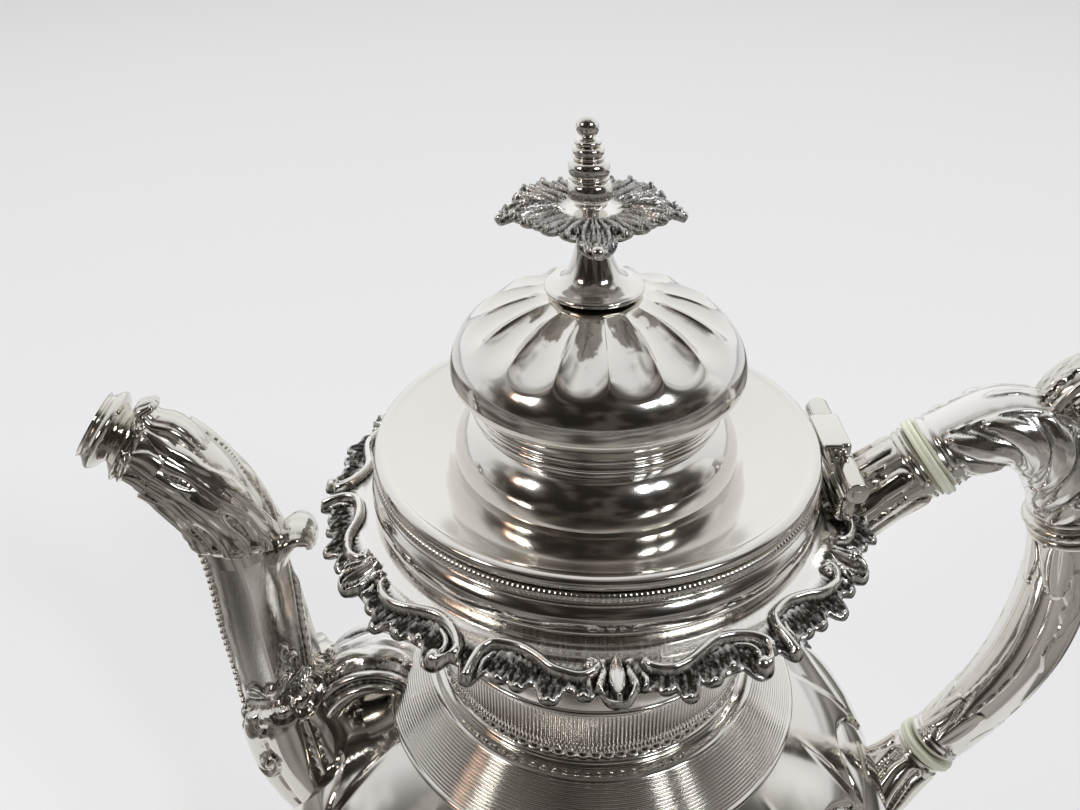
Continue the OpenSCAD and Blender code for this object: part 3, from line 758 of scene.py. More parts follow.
class PotStage(bpy.types.PropertyGroup):
    """Floor, light and camera"""

    lamp: FloatProperty(name="Lamp power", description="Power of each small lamp", default=3.2)
    wash: FloatProperty(name="Wash power", description="Power of the large soft light", default=46.0)
    sky: FloatProperty(name="Room brightness", description="Brightness of the pale side of the room",
                       default=0.9)
    floor: FloatVectorProperty(name="Floor", description="Colour of the floor", subtype="COLOR",
                               default=(0.83, 0.83, 0.84))


def sizes():
    return bpy.context.scene.pot_sizes


# ---------------------------------------------------------------- foot and belly


class POT_OT_foot(bpy.types.Operator):
    """The foot ring and the spun pedestal"""

    bl_idname = "pot.foot"
    bl_label = "Foot"

    def execute(self, context):
        outer = straight([(43.4, 0.0), (47.2, 0.0)], 0.5)
        outer = np.vstack([outer, arc(46.6, 1.6, 1.6, 1.6, -80, 80, 14), [[46.05, 3.6], [46.05, 1.25]]])
        inner = np.array([[46.0, 1.2], [43.4, 1.2], [43.4, 0.4]])

        def gadroons(angle, line, place):
            turn, z = whole(angle, line)
            swell = smooth_step(0.2, 1.0, z) * smooth_step(3.4, 2.6, z) * (line[None, :, 0] > 46.2)
            return 0.35 * swell * (np.abs(np.sin(np.radians(turn) * 60)) - 0.6)

        dress(turned("foot_ring_spun", outer, inner, 960, gadroons, follow=0.0), "polished_silver",
              "pot", "foot_ring")
        line = through([(46, 1.3), (46, 3.2), (45.4, 4.9), (43, 6.5), (39.6, 7.3), (38.4, 8.1),
                        (36.5, 8.9), (33.2, 10.1), (30, 12.4), (27.2, 14.6), (25, 16.6), (23.4, 18.8),
                        (22.6, 21), (22.7, 22.7), (24.0, 23.6), (24.6, 24.6), (24.0, 25.6),
                        (23.4, 26.1), (24.6, 27.3), (26.8, 28.2)], 150)
        _, back = shell(line, 1.2)
        back[:, 1] = np.minimum(back[:, 1], 29.2)
        lobes = sizes().lobes * 2

        def petals(angle, line, place):
            turn, z = whole(angle, line)
            u = ((turn * lobes / 360) % 1) * 2 - 1
            fade = smooth_step(8.6, 10.6, z) * smooth_step(20.4, 17.5, z)
            return 0.75 * fade * (np.sqrt(1 - 0.96 * u**2) - 0.75)

        dress(turned("foot_pedestal_spun", line, back[::3], 576, petals, follow=0.5),
              "polished_silver", "pot", "foot_pedestal")
        return {"FINISHED"}


class POT_OT_belly(bpy.types.Operator):
    """The belly, chased with upright lobes"""

    bl_idname = "pot.belly"
    bl_label = "Belly"

    def execute(self, context):
        line = belly_profile(210)
        count, depth = sizes().lobes, sizes().lobe_depth / MM

        def chasing(angle, line, place):
            turn, z = whole(angle, line)
            part = 360.0 / count
            u = ((turn / part) % 1) * 2 - 1
            r = line[None, :, 0]
            half = np.maximum(r * math.radians(part) / 2, 0.1)
            top, low = 113.0, 33.0
            crown = 13.5 * (1 - np.sqrt(np.clip(1 - u**2, 0, 1)))
            toe = 5.0 * (1 - np.sqrt(np.clip(1 - u**2, 0, 1)))
            to_side = (1 - np.abs(u)) * half
            inside = np.minimum(to_side, np.minimum(top - crown - z, (z - low - toe) * 1.3))
            swell = np.clip(inside / np.minimum(half, 11.0), 0, 1)
            pillow = np.sqrt(1 - (1 - swell) ** 2)
            h = np.where(inside > 0, depth * (pillow - 0.52), 0.0)
            rib = np.exp(-(((to_side - 0.0) / 0.75) ** 2)) * smooth_step(30, 40, z)
            rib *= smooth_step(124, 108, z)
            seam = np.exp(-((inside / 0.5) ** 2)) * (z > low - 1) * (np.abs(inside) < 1.6)
            return h + 0.95 * rib - 0.35 * seam * (1 - rib)

        _, back = shell(line, WALL)
        piece = turned("belly_chased", line, back[::6], 768, chasing, follow=0.35, poles=True, reach=4)
        dress(piece, "polished_silver", "pot", "body_shell")
        return {"FINISHED"}


class POT_OT_shoulder(bpy.types.Operator):
    """The reeded shoulder and the ribbed neck band"""

    bl_idname = "pot.shoulder"
    bl_label = "Shoulder"

    def execute(self, context):
        reeds = sizes().reeds
        edge = arc(47.6, 125.2, 0.9, 0.75, -80, 60, 10)
        run = through([(47.6, 126.0), (44.8, 128.9), (42.2, 131.4), (40.0, 133.3), (38.5, 134.3)],
                      reeds * 14 + 1)
        top = through([(38.5, 134.3), (37.6, 134.75), (36.4, 134.75), (35.2, 135.0), (33.85, 135.15)], 24)
        line = np.vstack([edge, run[1:], top[1:]])
        back = np.array([[33.5, 135.1], [33.5, 133.9], [37.4, 133.0], [42.6, 129.2], [46.2, 125.3],
                         [46.4, 124.5]])
        start, end = len(edge), len(edge) + len(run) - 1

        def turning(angle, line, place):
            k = np.clip((np.arange(len(line)) - start) / (end - start), 0, 1)[None, :]
            on = ((k > 0) & (k < 1)) * 1.0
            return 0.26 * on * (np.abs(np.sin(math.pi * reeds * k)) ** 0.7 - 0.55) + 0 * angle

        dress(turned("shoulder_reeded", line, back, 320, turning, follow=0.0), "polished_silver",
              "pot", "shoulder_ring")

        band = np.vstack([[[33.65, 135.22], [34.7, 135.22]], arc(34.7, 136.15, 0.85, 0.85, -80, 75, 12),
                          straight([(34.72, 137.1), (34.66, 150.2)], 0.35),
                          arc(34.6, 151.1, 0.72, 0.75, -70, 75, 10), [[34.6, 151.95]]])
        back = np.array([[33.6, 151.9], [33.6, 136.0]])

        def ribs(angle, line, place):
            turn, z = whole(angle, line)
            fine = np.abs(np.sin(np.radians(turn) * 126)) ** 0.8
            area = smooth_step(139.1, 139.4, z) * smooth_step(149.6, 149.3, z)
            zone = smooth_step(141.3, 141.6, z) + smooth_step(141.0, 140.7, z)
            h = 0.34 * area * zone * (fine - 0.6)
            beads = np.abs(np.sin(np.radians(turn) * 42))
            row = np.sqrt(np.clip(1 - ((z - 138.1) / 0.75) ** 2, 0, 1)) * (z < 139.2) * (z > 137)
            return h + 0.62 * row * beads ** 0.7

        dress(turned("neck_band_ribbed", band, back, 1512, ribs, follow=0.0), "polished_silver",
              "pot", "neck_band")
        return {"FINISHED"}


class POT_OT_neck(bpy.types.Operator):
    """The spun neck under the collar"""

    bl_idname = "pot.neck"
    bl_label = "Neck"

    def execute(self, context):
        z = np.linspace(152.0, 182.9, 44)
        r = 34.8 + 9.2 * ((z - 152) / 30.9) ** 1.8
        line = np.column_stack([r, z])
        back = np.column_stack([r - WALL, z])[::-4]
        dress(turned("neck_spun", line, back, 288), "polished_silver", "pot", "neck")
        return {"FINISHED"}


class POT_OT_mouth(bpy.types.Operator):
    """The rounded mouth moulding and its milled edge"""

    bl_idname = "pot.mouth"
    bl_label = "Mouth rim"

    def execute(self, context):
        line = np.vstack([[[41.7, 182.95], [44.6, 182.95]],
                          through([(45.0, 183.3), (45.7, 184.2), (46.25, 185.6), (46.3, 187.0),
                                   (46.0, 188.4), (45.2, 189.5), (44.75, 189.9)], 26),
                          through([(44.9, 190.05), (45.3, 190.35), (45.3, 190.9), (44.9, 191.2)], 8),
                          [[41.7, 191.24]]])
        dress(turned("mouth_moulding", line, [[41.6, 190.6], [41.6, 183.6]], 360), "polished_silver",
              "pot", "mouth_rim")
        line = np.vstack([[[41.7, 191.3], [44.9, 191.3]],
                          through([(45.2, 191.45), (45.5, 192.0), (45.5, 192.8), (45.15, 193.3)], 18),
                          [[41.7, 193.38]]])

        def milling(angle, line, place):
            on = (line[None, :, 0] > 45.05) * 1.0
            return 0.13 * on * (np.abs(np.sin(angle * 150)) ** 0.7 - 0.55)

        dress(turned("mouth_milled_edge", line, [[41.6, 192.9], [41.6, 191.8]], 1800, milling, follow=0.0),
              "polished_silver", "pot", "rim_beading")
        return {"FINISHED"}


# ---------------------------------------------------------------- collar border

BORDER_TIPS = [(0, 57.7, 3.3), (8.5, 56.3, 2.0), (12.2, 58.0, 2.2), (17.0, 56.5, 2.3),
               (21.3, 54.9, 2.0), (26.2, 58.0, 3.0), (33.6, 57.9, 2.2), (38.8, 56.1, 2.2),
               (42.6, 56.6, 2.0), (48.3, 57.8, 2.5), (54.2, 56.7, 2.3)]
BORDER_LEAVES = [((9.5, 52.6), (8.9, 54.6), (8.4, 56.2)), ((12.6, 52.9), (12.7, 55.4), (12.0, 57.6)),
                 ((17.5, 51.4), (17.7, 53.8), (17.0, 55.9)), ((21.6, 50.2), (22.0, 52.6), (21.4, 54.3)),
                 ((38.4, 50.0), (39.4, 53.0), (38.9, 55.6)), ((42.3, 50.6), (43.2, 53.4), (42.6, 56.1)),
                 ((47.0, 52.6), (48.3, 55.0), (48.3, 57.4)), ((52.3, 53.6), (53.7, 55.0), (54.1, 56.2))]


def border_unit(turn, radius):
    """Raised work of one sixth of the border: a shell tongue between two leafy scrolls."""
    total = np.zeros(turn.shape)
    for shift in (0, 60):
        work = Relief((turn - shift) * 0.92, radius)

        def flat(points):
            return [(a * 0.92, b) for a, b in points]

        for blade in BORDER_LEAVES:
            work.leaf(flat(blade), 2.3, 0.42, vein=0.75, base=0.0, tip=0.5)
            a, b = flat(blade)[-1]
            work.bead(a, b, 0.8, 0.7)
        work.ridge(flat([(5.6, 50.6), (6.2, 51.6), (7.3, 52.2), (8.7, 52.6), (11.1, 52.7), (13.9, 52.0),
                         (16.7, 50.8), (19.9, 49.6), (22.5, 49.3), (25.6, 50.0), (28.4, 51.6),
                         (29.8, 53.6), (29.2, 55.6), (27.6, 56.6)]), 1.05, 2.0, ends=(0.8, 0.9))
        work.ridge(flat([(33.6, 57.0), (33.7, 54.5), (34.0, 51.9), (35.3, 50.0), (38, 49.3),
                         (41.6, 49.4), (44.9, 50.6), (47.7, 52.2), (50, 52.9), (53.3, 53.3),
                         (55.7, 52.3), (56.5, 50.9), (55.2, 50.1)]), 1.05, 2.0, ends=(0.9, 0.7))
        work.ridge(flat([(24.2, 51.2), (26.4, 52.4), (27.2, 54.2), (26.2, 55.4)]), 0.6, 0.8)
        work.ridge(flat([(35.6, 55.8), (35.4, 53.6), (36.2, 51.8)]), 0.55, 0.75)
        work.ridge(flat([(-2.3, 50.9), (-2.5, 52.5), (-3.2, 55.0), (-2.3, 56.9)]), 0.72, 1.5)
        work.ridge(flat([(2.3, 50.9), (2.4, 52.4), (3.1, 54.9), (1.9, 56.9)]), 0.72, 1.5)
        work.ridge(flat([(-2.6, 56.9), (-1.2, 57.5), (0.2, 57.7), (1.4, 57.5), (2.5, 56.9)]), 0.7, 1.3)
        work.leaf(flat([(0, 49.6), (0, 53.2), (0.1, 56.6)]), 1.5, 1.5, vein=-0.2, tip=0.4)
        work.ridge(flat([(-4.9, 54.6), (-5.2, 53.0), (-4.6, 51.6)]), 0.55, 0.9)
        work.ridge(flat([(4.6, 55.2), (5.2, 53.8), (4.6, 52.6)]), 0.55, 0.9)
        for a, b, r, h in ((-2.6, 50.2, 0.95, 1.3), (2.6, 50.2, 0.95, 1.3), (26.6, 56.3, 1.5, 1.9),
                           (33.4, 57.0, 1.1, 1.5), (55.0, 51.0, 1.0, 1.45), (5.8, 50.6, 0.8, 1.2)):
            work.bead(a * 0.92, b, r, h)
        total = np.maximum(total, work.grid())
    return total


class POT_OT_collar(bpy.types.Operator):
    """The cast border of scrolls and shells that stands out under the lid"""

    bl_idname = "pot.collar"
    bl_label = "Collar border"

    def execute(self, context):
        per, rows = 252, 62
        turn = np.arange(per) * 60.0 / per
        edge = np.full(per, 55.4)
        for a, b, w in BORDER_TIPS:
            for shift in (-60, 0, 60):
                u = (turn - a - shift) / w
                edge = np.maximum(edge, 54.4 + (b - 54.4) * np.sqrt(np.clip(1 - np.abs(u) ** 2.6, 0, 1)))
        for _ in range(2):
            edge = (np.roll(edge, 1) + 2 * edge + np.roll(edge, -1)) / 4
        inner = 44.35
        place = np.linspace(0, 1, rows) ** 0.8
        radius = inner + (edge[:, None] - inner) * place[None, :]
        work = border_unit(np.broadcast_to(turn[:, None], radius.shape), radius)
        work *= (sizes().border_height / MM) / 1.6
        behind = smooth_step(49.9, 52.6, radius) * smooth_step(0, 1.6, edge[:, None] - radius)
        hatch = 0.2 * np.sin(2 * math.pi * (turn[:, None] * 0.92 * 0.8 + 0.18 * (radius - 52)))
        ground = behind * (hatch - 0.16) * (work < 0.35)
        h = work + ground
        side = np.clip((edge[:, None] - radius) / 0.7, 0, 1)
        h = h * np.sqrt(1 - (1 - side) ** 2) - 0.35 * (1 - side) ** 2
        dark = hollows(np.tile(h, (3, 1)), 3)[per:2 * per] + 0.9 * behind * (work < 0.5)
        flange = 0.35 * np.exp(-(((radius - 47.6) / 0.5) ** 2))
        droop = -0.034 * np.clip(radius - 50, 0, None) ** 2 - 0.45 * smooth_step(46.5, 49.5, radius)
        top = COLLAR_TOP - 0.05 + droop + h + flange * 0
        under_r = np.stack([edge - 0.05, edge - 0.6, edge - 3.5, 0 * edge + 50.0, 0 * edge + inner], 1)
        under = -1.3 + -0.034 * np.clip(under_r - 50, 0, None) ** 2 - 0.45 * smooth_step(46.5, 49.5, under_r)
        under += 0.5 * np.array([1, 0, 0, 0, 0])[None, :]
        r = np.tile(np.hstack([radius, under_r]), (6, 1))
        z = np.tile(np.hstack([top, COLLAR_TOP - 0.05 + under]), (6, 1))
        dark = np.tile(np.hstack([np.clip(dark, 0, 1), np.full(under_r.shape, 0.5)]), (6, 1))
        azimuth = np.radians(np.arange(6 * per) * 60.0 / per + FRONT)[:, None]
        x, y = r * np.cos(azimuth), r * np.sin(azimuth)
        notch = (np.abs(y) < 11.2) & (x > 46.3)
        x = np.where(notch, 46.3, x)
        z = np.where(notch & (z > COLLAR_TOP - 0.6), np.minimum(z, COLLAR_TOP - 0.1), z)
        piece = sheet("collar_scroll_border", np.stack([x, y, z], -1), True, True, dark, 40)
        dress(piece, "worn_silver", "pot", "collar_border")
        return {"FINISHED"}


# ---------------------------------------------------------------- spout


class POT_OT_spout_base(bpy.types.Operator):
    """The cast foot of the spout, with bold leaves folding out of the belly"""

    bl_idname = "pot.spout_base"
    bl_label = "Spout foot"

    def execute(self, context):
        path, tilt = stretch(SPOUT, 0.0, 4.3, 34)

        def leaves(place, angle, rows):
            q, y = sides(place, angle, rows)
            y = y - seam(place, q, 2.9, 3.9, 0.0, 4.3)
            work = Relief(q, y)
            for x0, x1, w in ((0, 0, 4.8), (10.5, 9.5, 5.2), (21.5, 19.0, 5.4), (33, 29, 5.4)):
                work.ridge([(x0, -46), (x0 * 0.97 + x1 * 0.03, -22), (x1, -6.0)], w * 0.95, 2.6, ends=(0.7, 1.0))
            for x0, x1 in ((5.2, 4.7), (15.8, 14.2), (27.0, 24.0), (37.5, 33.5)):
                work.ridge([(x0, -40), (x0, -22), (x1, -7.0)], 1.2, 2.0, ends=(0.7, 1.0))
                work.bead(x1, -5.2, 2.2, 2.5)
            work.scroll(14.6, -13.0, 4.2, 1.3, 200, 1, 1.1, 2.9)
            for k in range(9):
                work.bead(k * 4.9, -1.9, 2.5, 1.7)
            out = smooth_step(-0.25, 0.15, y)
            return work.grid() * (1 - out) + 0.5 * (1 - out) - 1.9 * out

        piece = swept("spout_foot_casting", path, 176, 1.8, leaves, tilt=tilt, reach=4)
        dress(piece, "cast_silver", "pot", "spout_base")
        return {"FINISHED"}


class POT_OT_spout_scroll(bpy.types.Operator):
    """The broad leafy scroll between the spout and the shoulder"""

    bl_idname = "pot.spout_scroll"
    bl_label = "Spout scroll"

    def execute(self, context):
        stations = np.array([(-64.5, 108, 4, 7.6), (-63.4, 117, 5, 9), (-60, 124.4, 5.4, 9.6),
                             (-54.6, 128.8, 5.2, 9.6), (-49, 129, 4.9, 9.2), (-45, 125.6, 4.4, 8.2),
                             (-44.4, 120.8, 3.6, 7)])
        path, tilt = stretch(stations, 0, 6, 24)
        path = np.vstack([path])

        def folds(place, angle, rows):
            q, y = sides(place, angle, rows)
            end = place[-1, 0]
            work = Relief(q, y)
            work.leaf([(0, 0), (0, end * 0.45), (0, end - 3)], 4.6, 1.2, vein=0.5, notches=6, tip=0.6)
            work.ridge([(6.4, 1), (6.6, end * 0.5), (5.4, end - 2)], 1.2, 1.4)
            work.ridge([(10.2, 1), (10.2, end * 0.5), (8.4, end - 2)], 1.1, 1.1)
            return work.grid()

        ends, turn = rounded_ends(path, False, True)
        turn[:len(tilt)] = tilt
        turn[len(tilt):] = tilt[-1]
        piece = swept("spout_volute", ends, 96, relief=folds, tilt=turn, closed=True)
        dress(piece, "worn_silver", "pot", "spout_scroll")
        return {"FINISHED"}


class POT_OT_spout_tube(bpy.types.Operator):
    """The facetted tube of the spout with its framed side panels"""

    bl_idname = "pot.spout_tube"
    bl_label = "Spout tube"

    def execute(self, context):
        path, tilt = stretch(SPOUT, 2.6, 8.25, 30)

        def panels(place, angle, rows):
            q, y = sides(place, angle, rows)
            low = y - seam(place, q, 2.9, 3.9, 2.6, 8.25)
            top = seam(place, q, 8.0, 7.15, 2.6, 8.25) - y
            frame = np.minimum(np.minimum(low - 2.2, top - 0.4) * 0.9, np.minimum(q - 6.6, 27.5 - q))
            line = 0.45 * np.exp(-(((frame + 0.9) / 0.55) ** 2)) - 0.75 * np.exp(-((frame / 0.38) ** 2))
            work = Relief(q, low)
            work.leaf([(17.0, 3.6), (21.0, 8.0), (20.8, 15.0)], 2.4, 1.2, vein=0.4, notches=2)
            work.leaf([(15.0, 4.0), (11.0, 6.6), (7.6, 5.0)], 1.7, 0.9, vein=0.4, notches=2)
            work.scroll(21.6, 8.6, 2.7, 1.2, 100, -1, 0.7, 1.3)
            work.bead(16.4, 5.4, 1.7, 1.4)
            sunk = 0.25 * np.exp(-(((frame - 1.1) / 0.5) ** 2))
            return work.grid() + line + sunk

        piece = swept("spout_panelled_tube", path, 168, WALL, panels,
                      section=corners((24, 98, 180, 262, 336), 0.5), tilt=tilt, reach=2)
        dress(piece, "worn_silver", "pot", "spout_tube")
        return {"FINISHED"}


class POT_OT_spout_beads(bpy.types.Operator):
    """The row of beads down the outer edge of the spout"""

    bl_idname = "pot.spout_beads"
    bl_label = "Spout beads"

    def execute(self, context):
        path, tilt = stretch(SPOUT, 3.0, 8.0, 60)
        turn = math.radians(24)
        x = path[:, 0] - (path[:, 2] + 0.4) * math.cos(turn) * np.sin(tilt)
        z = path[:, 1] + (path[:, 2] + 0.4) * math.cos(turn) * np.cos(tilt)
        y = (path[:, 3] + 0.4) * math.sin(turn)
        run = np.concatenate([[0], np.cumsum(np.hypot(np.diff(x), np.diff(z)))])
        count = int(run[-1] / (sizes().bead_pitch / MM))
        work = bmesh.new()
        for side in (-1, 1):
            for k in range(count + 1):
                at = (k + 0.3) * run[-1] / (count + 0.6)
                ball(work, (np.interp(at, run, x), side * np.interp(at, run, y), np.interp(at, run, z)),
                     0.84, 9)
        mesh = bpy.data.meshes.new("spout_beads_loose")
        work.to_mesh(mesh)
        work.free()
        mesh.shade_smooth()
        loose = bpy.data.objects.new("spout_beads_loose", mesh)
        bpy.context.scene.collection.objects.link(loose)
        rail = np.column_stack([x + 0.5 * np.sin(tilt), z - 0.5 * np.cos(tilt),
                                np.full(len(x), 0.5), y + 0.35])
        strip = swept("spout_bead_rail", rail, 32, tilt=tilt, closed=True)
        piece = join_sheets("spout_bead_row", [loose, strip])
        dress(piece, "cast_silver", "pot", "spout_bead_strip")
        return {"FINISHED"}


class POT_OT_spout_leaf(bpy.types.Operator):
    """The overlapping acanthus leaves that hold the nozzle"""

    bl_idname = "pot.spout_leaf"
    bl_label = "Spout leaf"

    def execute(self, context):
        path, tilt = stretch(SPOUT, 7.0, 10.3, 40)
        path[:, 2:] += 0.55

        def acanthus(place, angle, rows):
            q, y = sides(place, angle, rows)
            y = y - seam(place, q * 1.45, 8.0, 7.1, 7.0, 10.3)
            end = y[:, :1] * 0 + y.max()
            work = Relief(q, y)
            for x0, x1, w in ((0.0, 0.0, 3.6), (7.8, 7.2, 3.9), (16.0, 14.4, 4.1), (24.6, 21.0, 4.2)):
                work.leaf([(x1 * 0.9, 26), (x1, 13), (x0, 1.0)], w, 1.5, vein=0.35, notches=2, tip=0.85)
            for k in range(8):
                work.bead(k * 4.1, 1.2 + 0.5 * (k % 2), 1.9, 1.3)
            for x0, x1 in ((3.9, 3.5), (11.9, 10.9), (20.4, 18.0)):
                work.ridge([(x0, 2.6), (x0 * 0.5 + x1 * 0.5, 12), (x1, 24)], 1.1, 1.3)
            out = smooth_step(0.1, -0.35, y)
            return (work.grid() + 0.25) * (1 - out) * smooth_step(0, 0.9, end - y) - 1.7 * out

        piece = swept("spout_acanthus", path, 176, 0.9, acanthus, tilt=tilt, reach=3)

        hook = np.array([(-69.0, 163.5, 1.2, 5.6), (-68.2, 166.6, 1.9, 6.2), (-66.8, 169.4, 2.3, 6.2),
                         (-64.6, 170.9, 2.2, 5.6), (-62.6, 169.9, 1.8, 4.6), (-62.2, 168.0, 1.2, 3.4)])
        curl, turn = stretch(hook, 0, 5, 14)

        def veins(place, angle, rows):
            x, y = around_outer(place, angle, rows)
            return 0.22 * np.abs(np.sin(angle * 4)) * smooth_step(0, 1, y) + 0 * x

        ends, bend = rounded_ends(curl, True, True)
        bend[5:5 + len(turn)] = turn
        bend[:5], bend[5 + len(turn):] = turn[0], turn[-1]
        tip = swept("spout_leaf_hook", ends, 60, relief=veins, tilt=bend, closed=True)
        piece = join_sheets("spout_acanthus_casting", [piece, tip])
        dress(piece, "cast_silver", "pot", "spout_leaf")
        return {"FINISHED"}


class POT_OT_spout_nozzle(bpy.types.Operator):
    """The nozzle with its collar, small scrolls and flared lip"""

    bl_idname = "pot.spout_nozzle"
    bl_label = "Spout nozzle"

    def execute(self, context):
        path, tilt = stretch(SPOUT, 7.6, 13.0, 30)
        t = np.linspace(7.6, 13.0, len(path))
        ring = 1.5 * np.exp(-(((t - 11.62) / 0.11) ** 2)) + 0.7 * np.exp(-(((t - 11.32) / 0.07) ** 2))
        waist = -1.7 * np.exp(-(((t - 12.03) / 0.17) ** 2)) + 1.5 * np.exp(-(((t - 12.55) / 0.27) ** 2))
        path[:, 2] += ring + waist - 0.65 * (t < 10.2)
        path[:, 3] += ring + waist - 0.65 * (t < 10.2)
        h = tilt[-1]
        roll = []
        for s in np.radians([15, 35, 60, 90, 120, 150, 175]):
            grow, out = 0.5 * (1 - math.cos(s)) - 0.2, 0.9 * math.sin(s)
            roll.append([path[-1, 0] + out * math.cos(h), path[-1, 1] + out * math.sin(h),
                         path[-1, 2] + grow, path[-1, 3] + grow])
        path = np.vstack([path, roll[:4]])
        tilt = np.concatenate([tilt, [h] * 4])

        def work_on(place, angle, rows):
            x, y = around_outer(place, angle, rows)
            q, _ = sides(place, angle, rows)
            end = place[-1, 0]
            work = Relief(q, y)
            for x0 in (0.0, 6.6, 13.2, 19.8):
                work.leaf([(x0 + 0.3, end - 9.6), (x0 + 0.6, end - 13), (x0 - 0.2, end - 18.5)], 3.0, 0.9,
                          vein=0.4, notches=0, tip=0.6)
            work.bead(0, end - 1.6, 2.6, 1.5)
            return work.grid() * smooth_step(0.3, 2.0, end - y)

        body = swept("spout_nozzle_tube", path, 168, WALL, work_on, tilt=tilt)
        parts = [body]
        for name, hook in (
                ("spout_top_curl", [(-80.6, 190.0, 1.6, 3.0), (-82.6, 194.6, 1.9, 3.4),
                                    (-85.8, 198.4, 2.0, 3.5), (-89.6, 199.8, 1.9, 3.4),
                                    (-91.2, 202.4, 1.6, 3.0), (-89.2, 203.8, 1.1, 2.4)]),
                ("spout_under_curl", [(-96.6, 187.6, 1.3, 2.4), (-96.2, 184.6, 1.3, 2.4),
                                      (-94.2, 182.6, 1.2, 2.2), (-92.0, 183.2, 1.0, 1.9),
                                      (-92.2, 185.0, 0.8, 1.5)])):
            curl, turn = stretch(np.array(hook, float), 0, len(hook) - 1, 12)
            ends, bend = rounded_ends(curl, True, True)
            bend[5:5 + len(turn)] = turn
            bend[:5], bend[5 + len(turn):] = turn[0], turn[-1]

            def lines(place, angle, rows):
                return 0.25 * np.abs(np.sin(angle * 4)) + 0 * place

            parts.append(swept(name, ends, 48, relief=lines, tilt=bend, closed=True))
        dress(join_sheets("spout_nozzle_casting", parts), "cast_silver", "pot", "spout_nozzle")
        return {"FINISHED"}


# ---------------------------------------------------------------- handle


class POT_OT_sockets(bpy.types.Operator):
    """The leafy sockets that carry the handle on the neck and on the belly"""

    bl_idname = "pot.sockets"
    bl_label = "Handle sockets"

    def execute(self, context):
        path, tilt = stretch(HANDLE, 0.0, 3.82, 34)
        t = np.linspace(0, 1, len(path))
        ring = 0.5 * np.exp(-(((t - 0.97) / 0.018) ** 2)) + 0.35 * np.exp(-(((t - 0.914) / 0.019) ** 2))
        path[:, 2] += ring
        path[:, 3] += ring
        path, tilt = carried_on(path, tilt, 15.0)

        def upper(place, angle, rows):
            q, y = sides(place, angle, rows)
            end = place[-1, 0]
            work = Relief(q, y)
            for x0, x1 in ((0.0, 0.0), (10.0, 8.0), (20.0, 16.0), (28.0, 23.5)):
                work.leaf([(x0, -2), (x0, end * 0.4), (x1, end - 5.0)], 4.2, 1.0, vein=0.4, notches=2,
                          tip=0.5)
                work.ridge([(x0 + 5.0, -2), (x0 + 4.8, end * 0.5), (x1 + 4.0, end - 7)], 0.7, 0.9)
            return work.grid() * smooth_step(0, 3.5, end - y)

        piece = tucked(swept("upper_socket_casting", path, 160, WALL, upper, tilt=tilt),
                       lambda z: 34.2 + 9.2 * (np.clip(z - 152, 0, 30.9) / 30.9) ** 1.8)
        dress(piece, "cast_silver", "pot", "handle_upper_socket")

        path, tilt = stretch(HANDLE, 17.18, 19.7, 34)
        t = np.linspace(0, 1, len(path))
        ring = 0.5 * np.exp(-(((t - 0.04) / 0.026) ** 2)) + 0.35 * np.exp(-(((t - 0.13) / 0.028) ** 2))
        path[:, 2] += ring
        path[:, 3] += ring
        path, tilt = carried_on(path, tilt, 20.0, front=False)

        def lower(place, angle, rows):
            q, y = sides(place, angle, rows)
            end = place[-1, 0]
            work = Relief(q, y)
            for x0, x1 in ((0.0, 0.0), (7.4, 10.6), (14.6, 21.0), (21.0, 31.0)):
                work.leaf([(x0, 3.6), (x0 * 1.15, end * 0.5), (x1, end)], 4.0, 1.2, vein=0.4, notches=2,
                          tip=0.5)
                work.ridge([(x0 + 3.7, 4.4), (x0 * 1.1 + 4.6, end * 0.5), (x1 + 5.2, end)], 0.7, 1.1)
            return work.grid() * smooth_step(2.2, 4.2, y)

        def belly_wall(z):
            up = np.sqrt(np.clip(1 - ((z - 72) / 66) ** 2, 0, 1))
            down = np.sqrt(np.clip(1 - ((z - 72) / 46) ** 2, 0, 1))
            return 78 * np.where(z > 72, up, down) - 1.6

        piece = tucked(swept("lower_socket_casting", path, 160, WALL, lower, tilt=tilt), belly_wall)
        dress(piece, "cast_silver", "pot", "handle_lower_socket")
        return {"FINISHED"}


class POT_OT_insulators(bpy.types.Operator):
    """The two insulating discs let into the handle"""

    bl_idname = "pot.insulators"
    bl_label = "Insulators"

    def execute(self, context):
        for name, node_name, station, r in (("upper_insulating_disc", "upper_insulator", 4, 8.9),
                                            ("lower_insulating_disc", "lower_insulator", 17, 7.6)):
            rows, turn = stretch(HANDLE, station - 0.2, station + 0.2, 10)
            x, z = rows[len(rows) // 2, :2]
            h = turn[len(turn) // 2]
            half = 1.1
            rim = arc(half - 0.55, r - 0.55, 0.55, 0.55, 0, 90, 7)
            side = [(half, 4.4), (half, r - 1.8)] + [tuple(p) for p in rim]
            side += [(0.25, r - 0.03), (0.0, r - 0.16), (-0.25, r - 0.03)]
            side += [(-a, b) for a, b in side[:2 + len(rim)][::-1]] + [(-half + 0.1, 4.4), (0, 4.3)]
            line = np.array(side)
            round_ = np.radians(np.arange(144) * 2.5)[:, None]
            wear = 0.06 * np.sin(3 * round_ + station) + 0.05 * np.sin(7 * round_ + 2 * station)
            rr = line[None, :, 1] + wear * (line[None, :, 1] > r - 1)
            u, v = rr * np.cos(round_), rr * np.sin(round_)
            along = line[None, :, 0] + 0 * round_
            grid = np.stack([x + along * math.cos(h) - u * math.sin(h), v,
                             z + along * math.sin(h) + u * math.cos(h)], -1)
            piece = sheet(name, grid, True, True, None, 40, weld=True)
            dress(piece, "insulator", "pot", node_name)
        return {"FINISHED"}


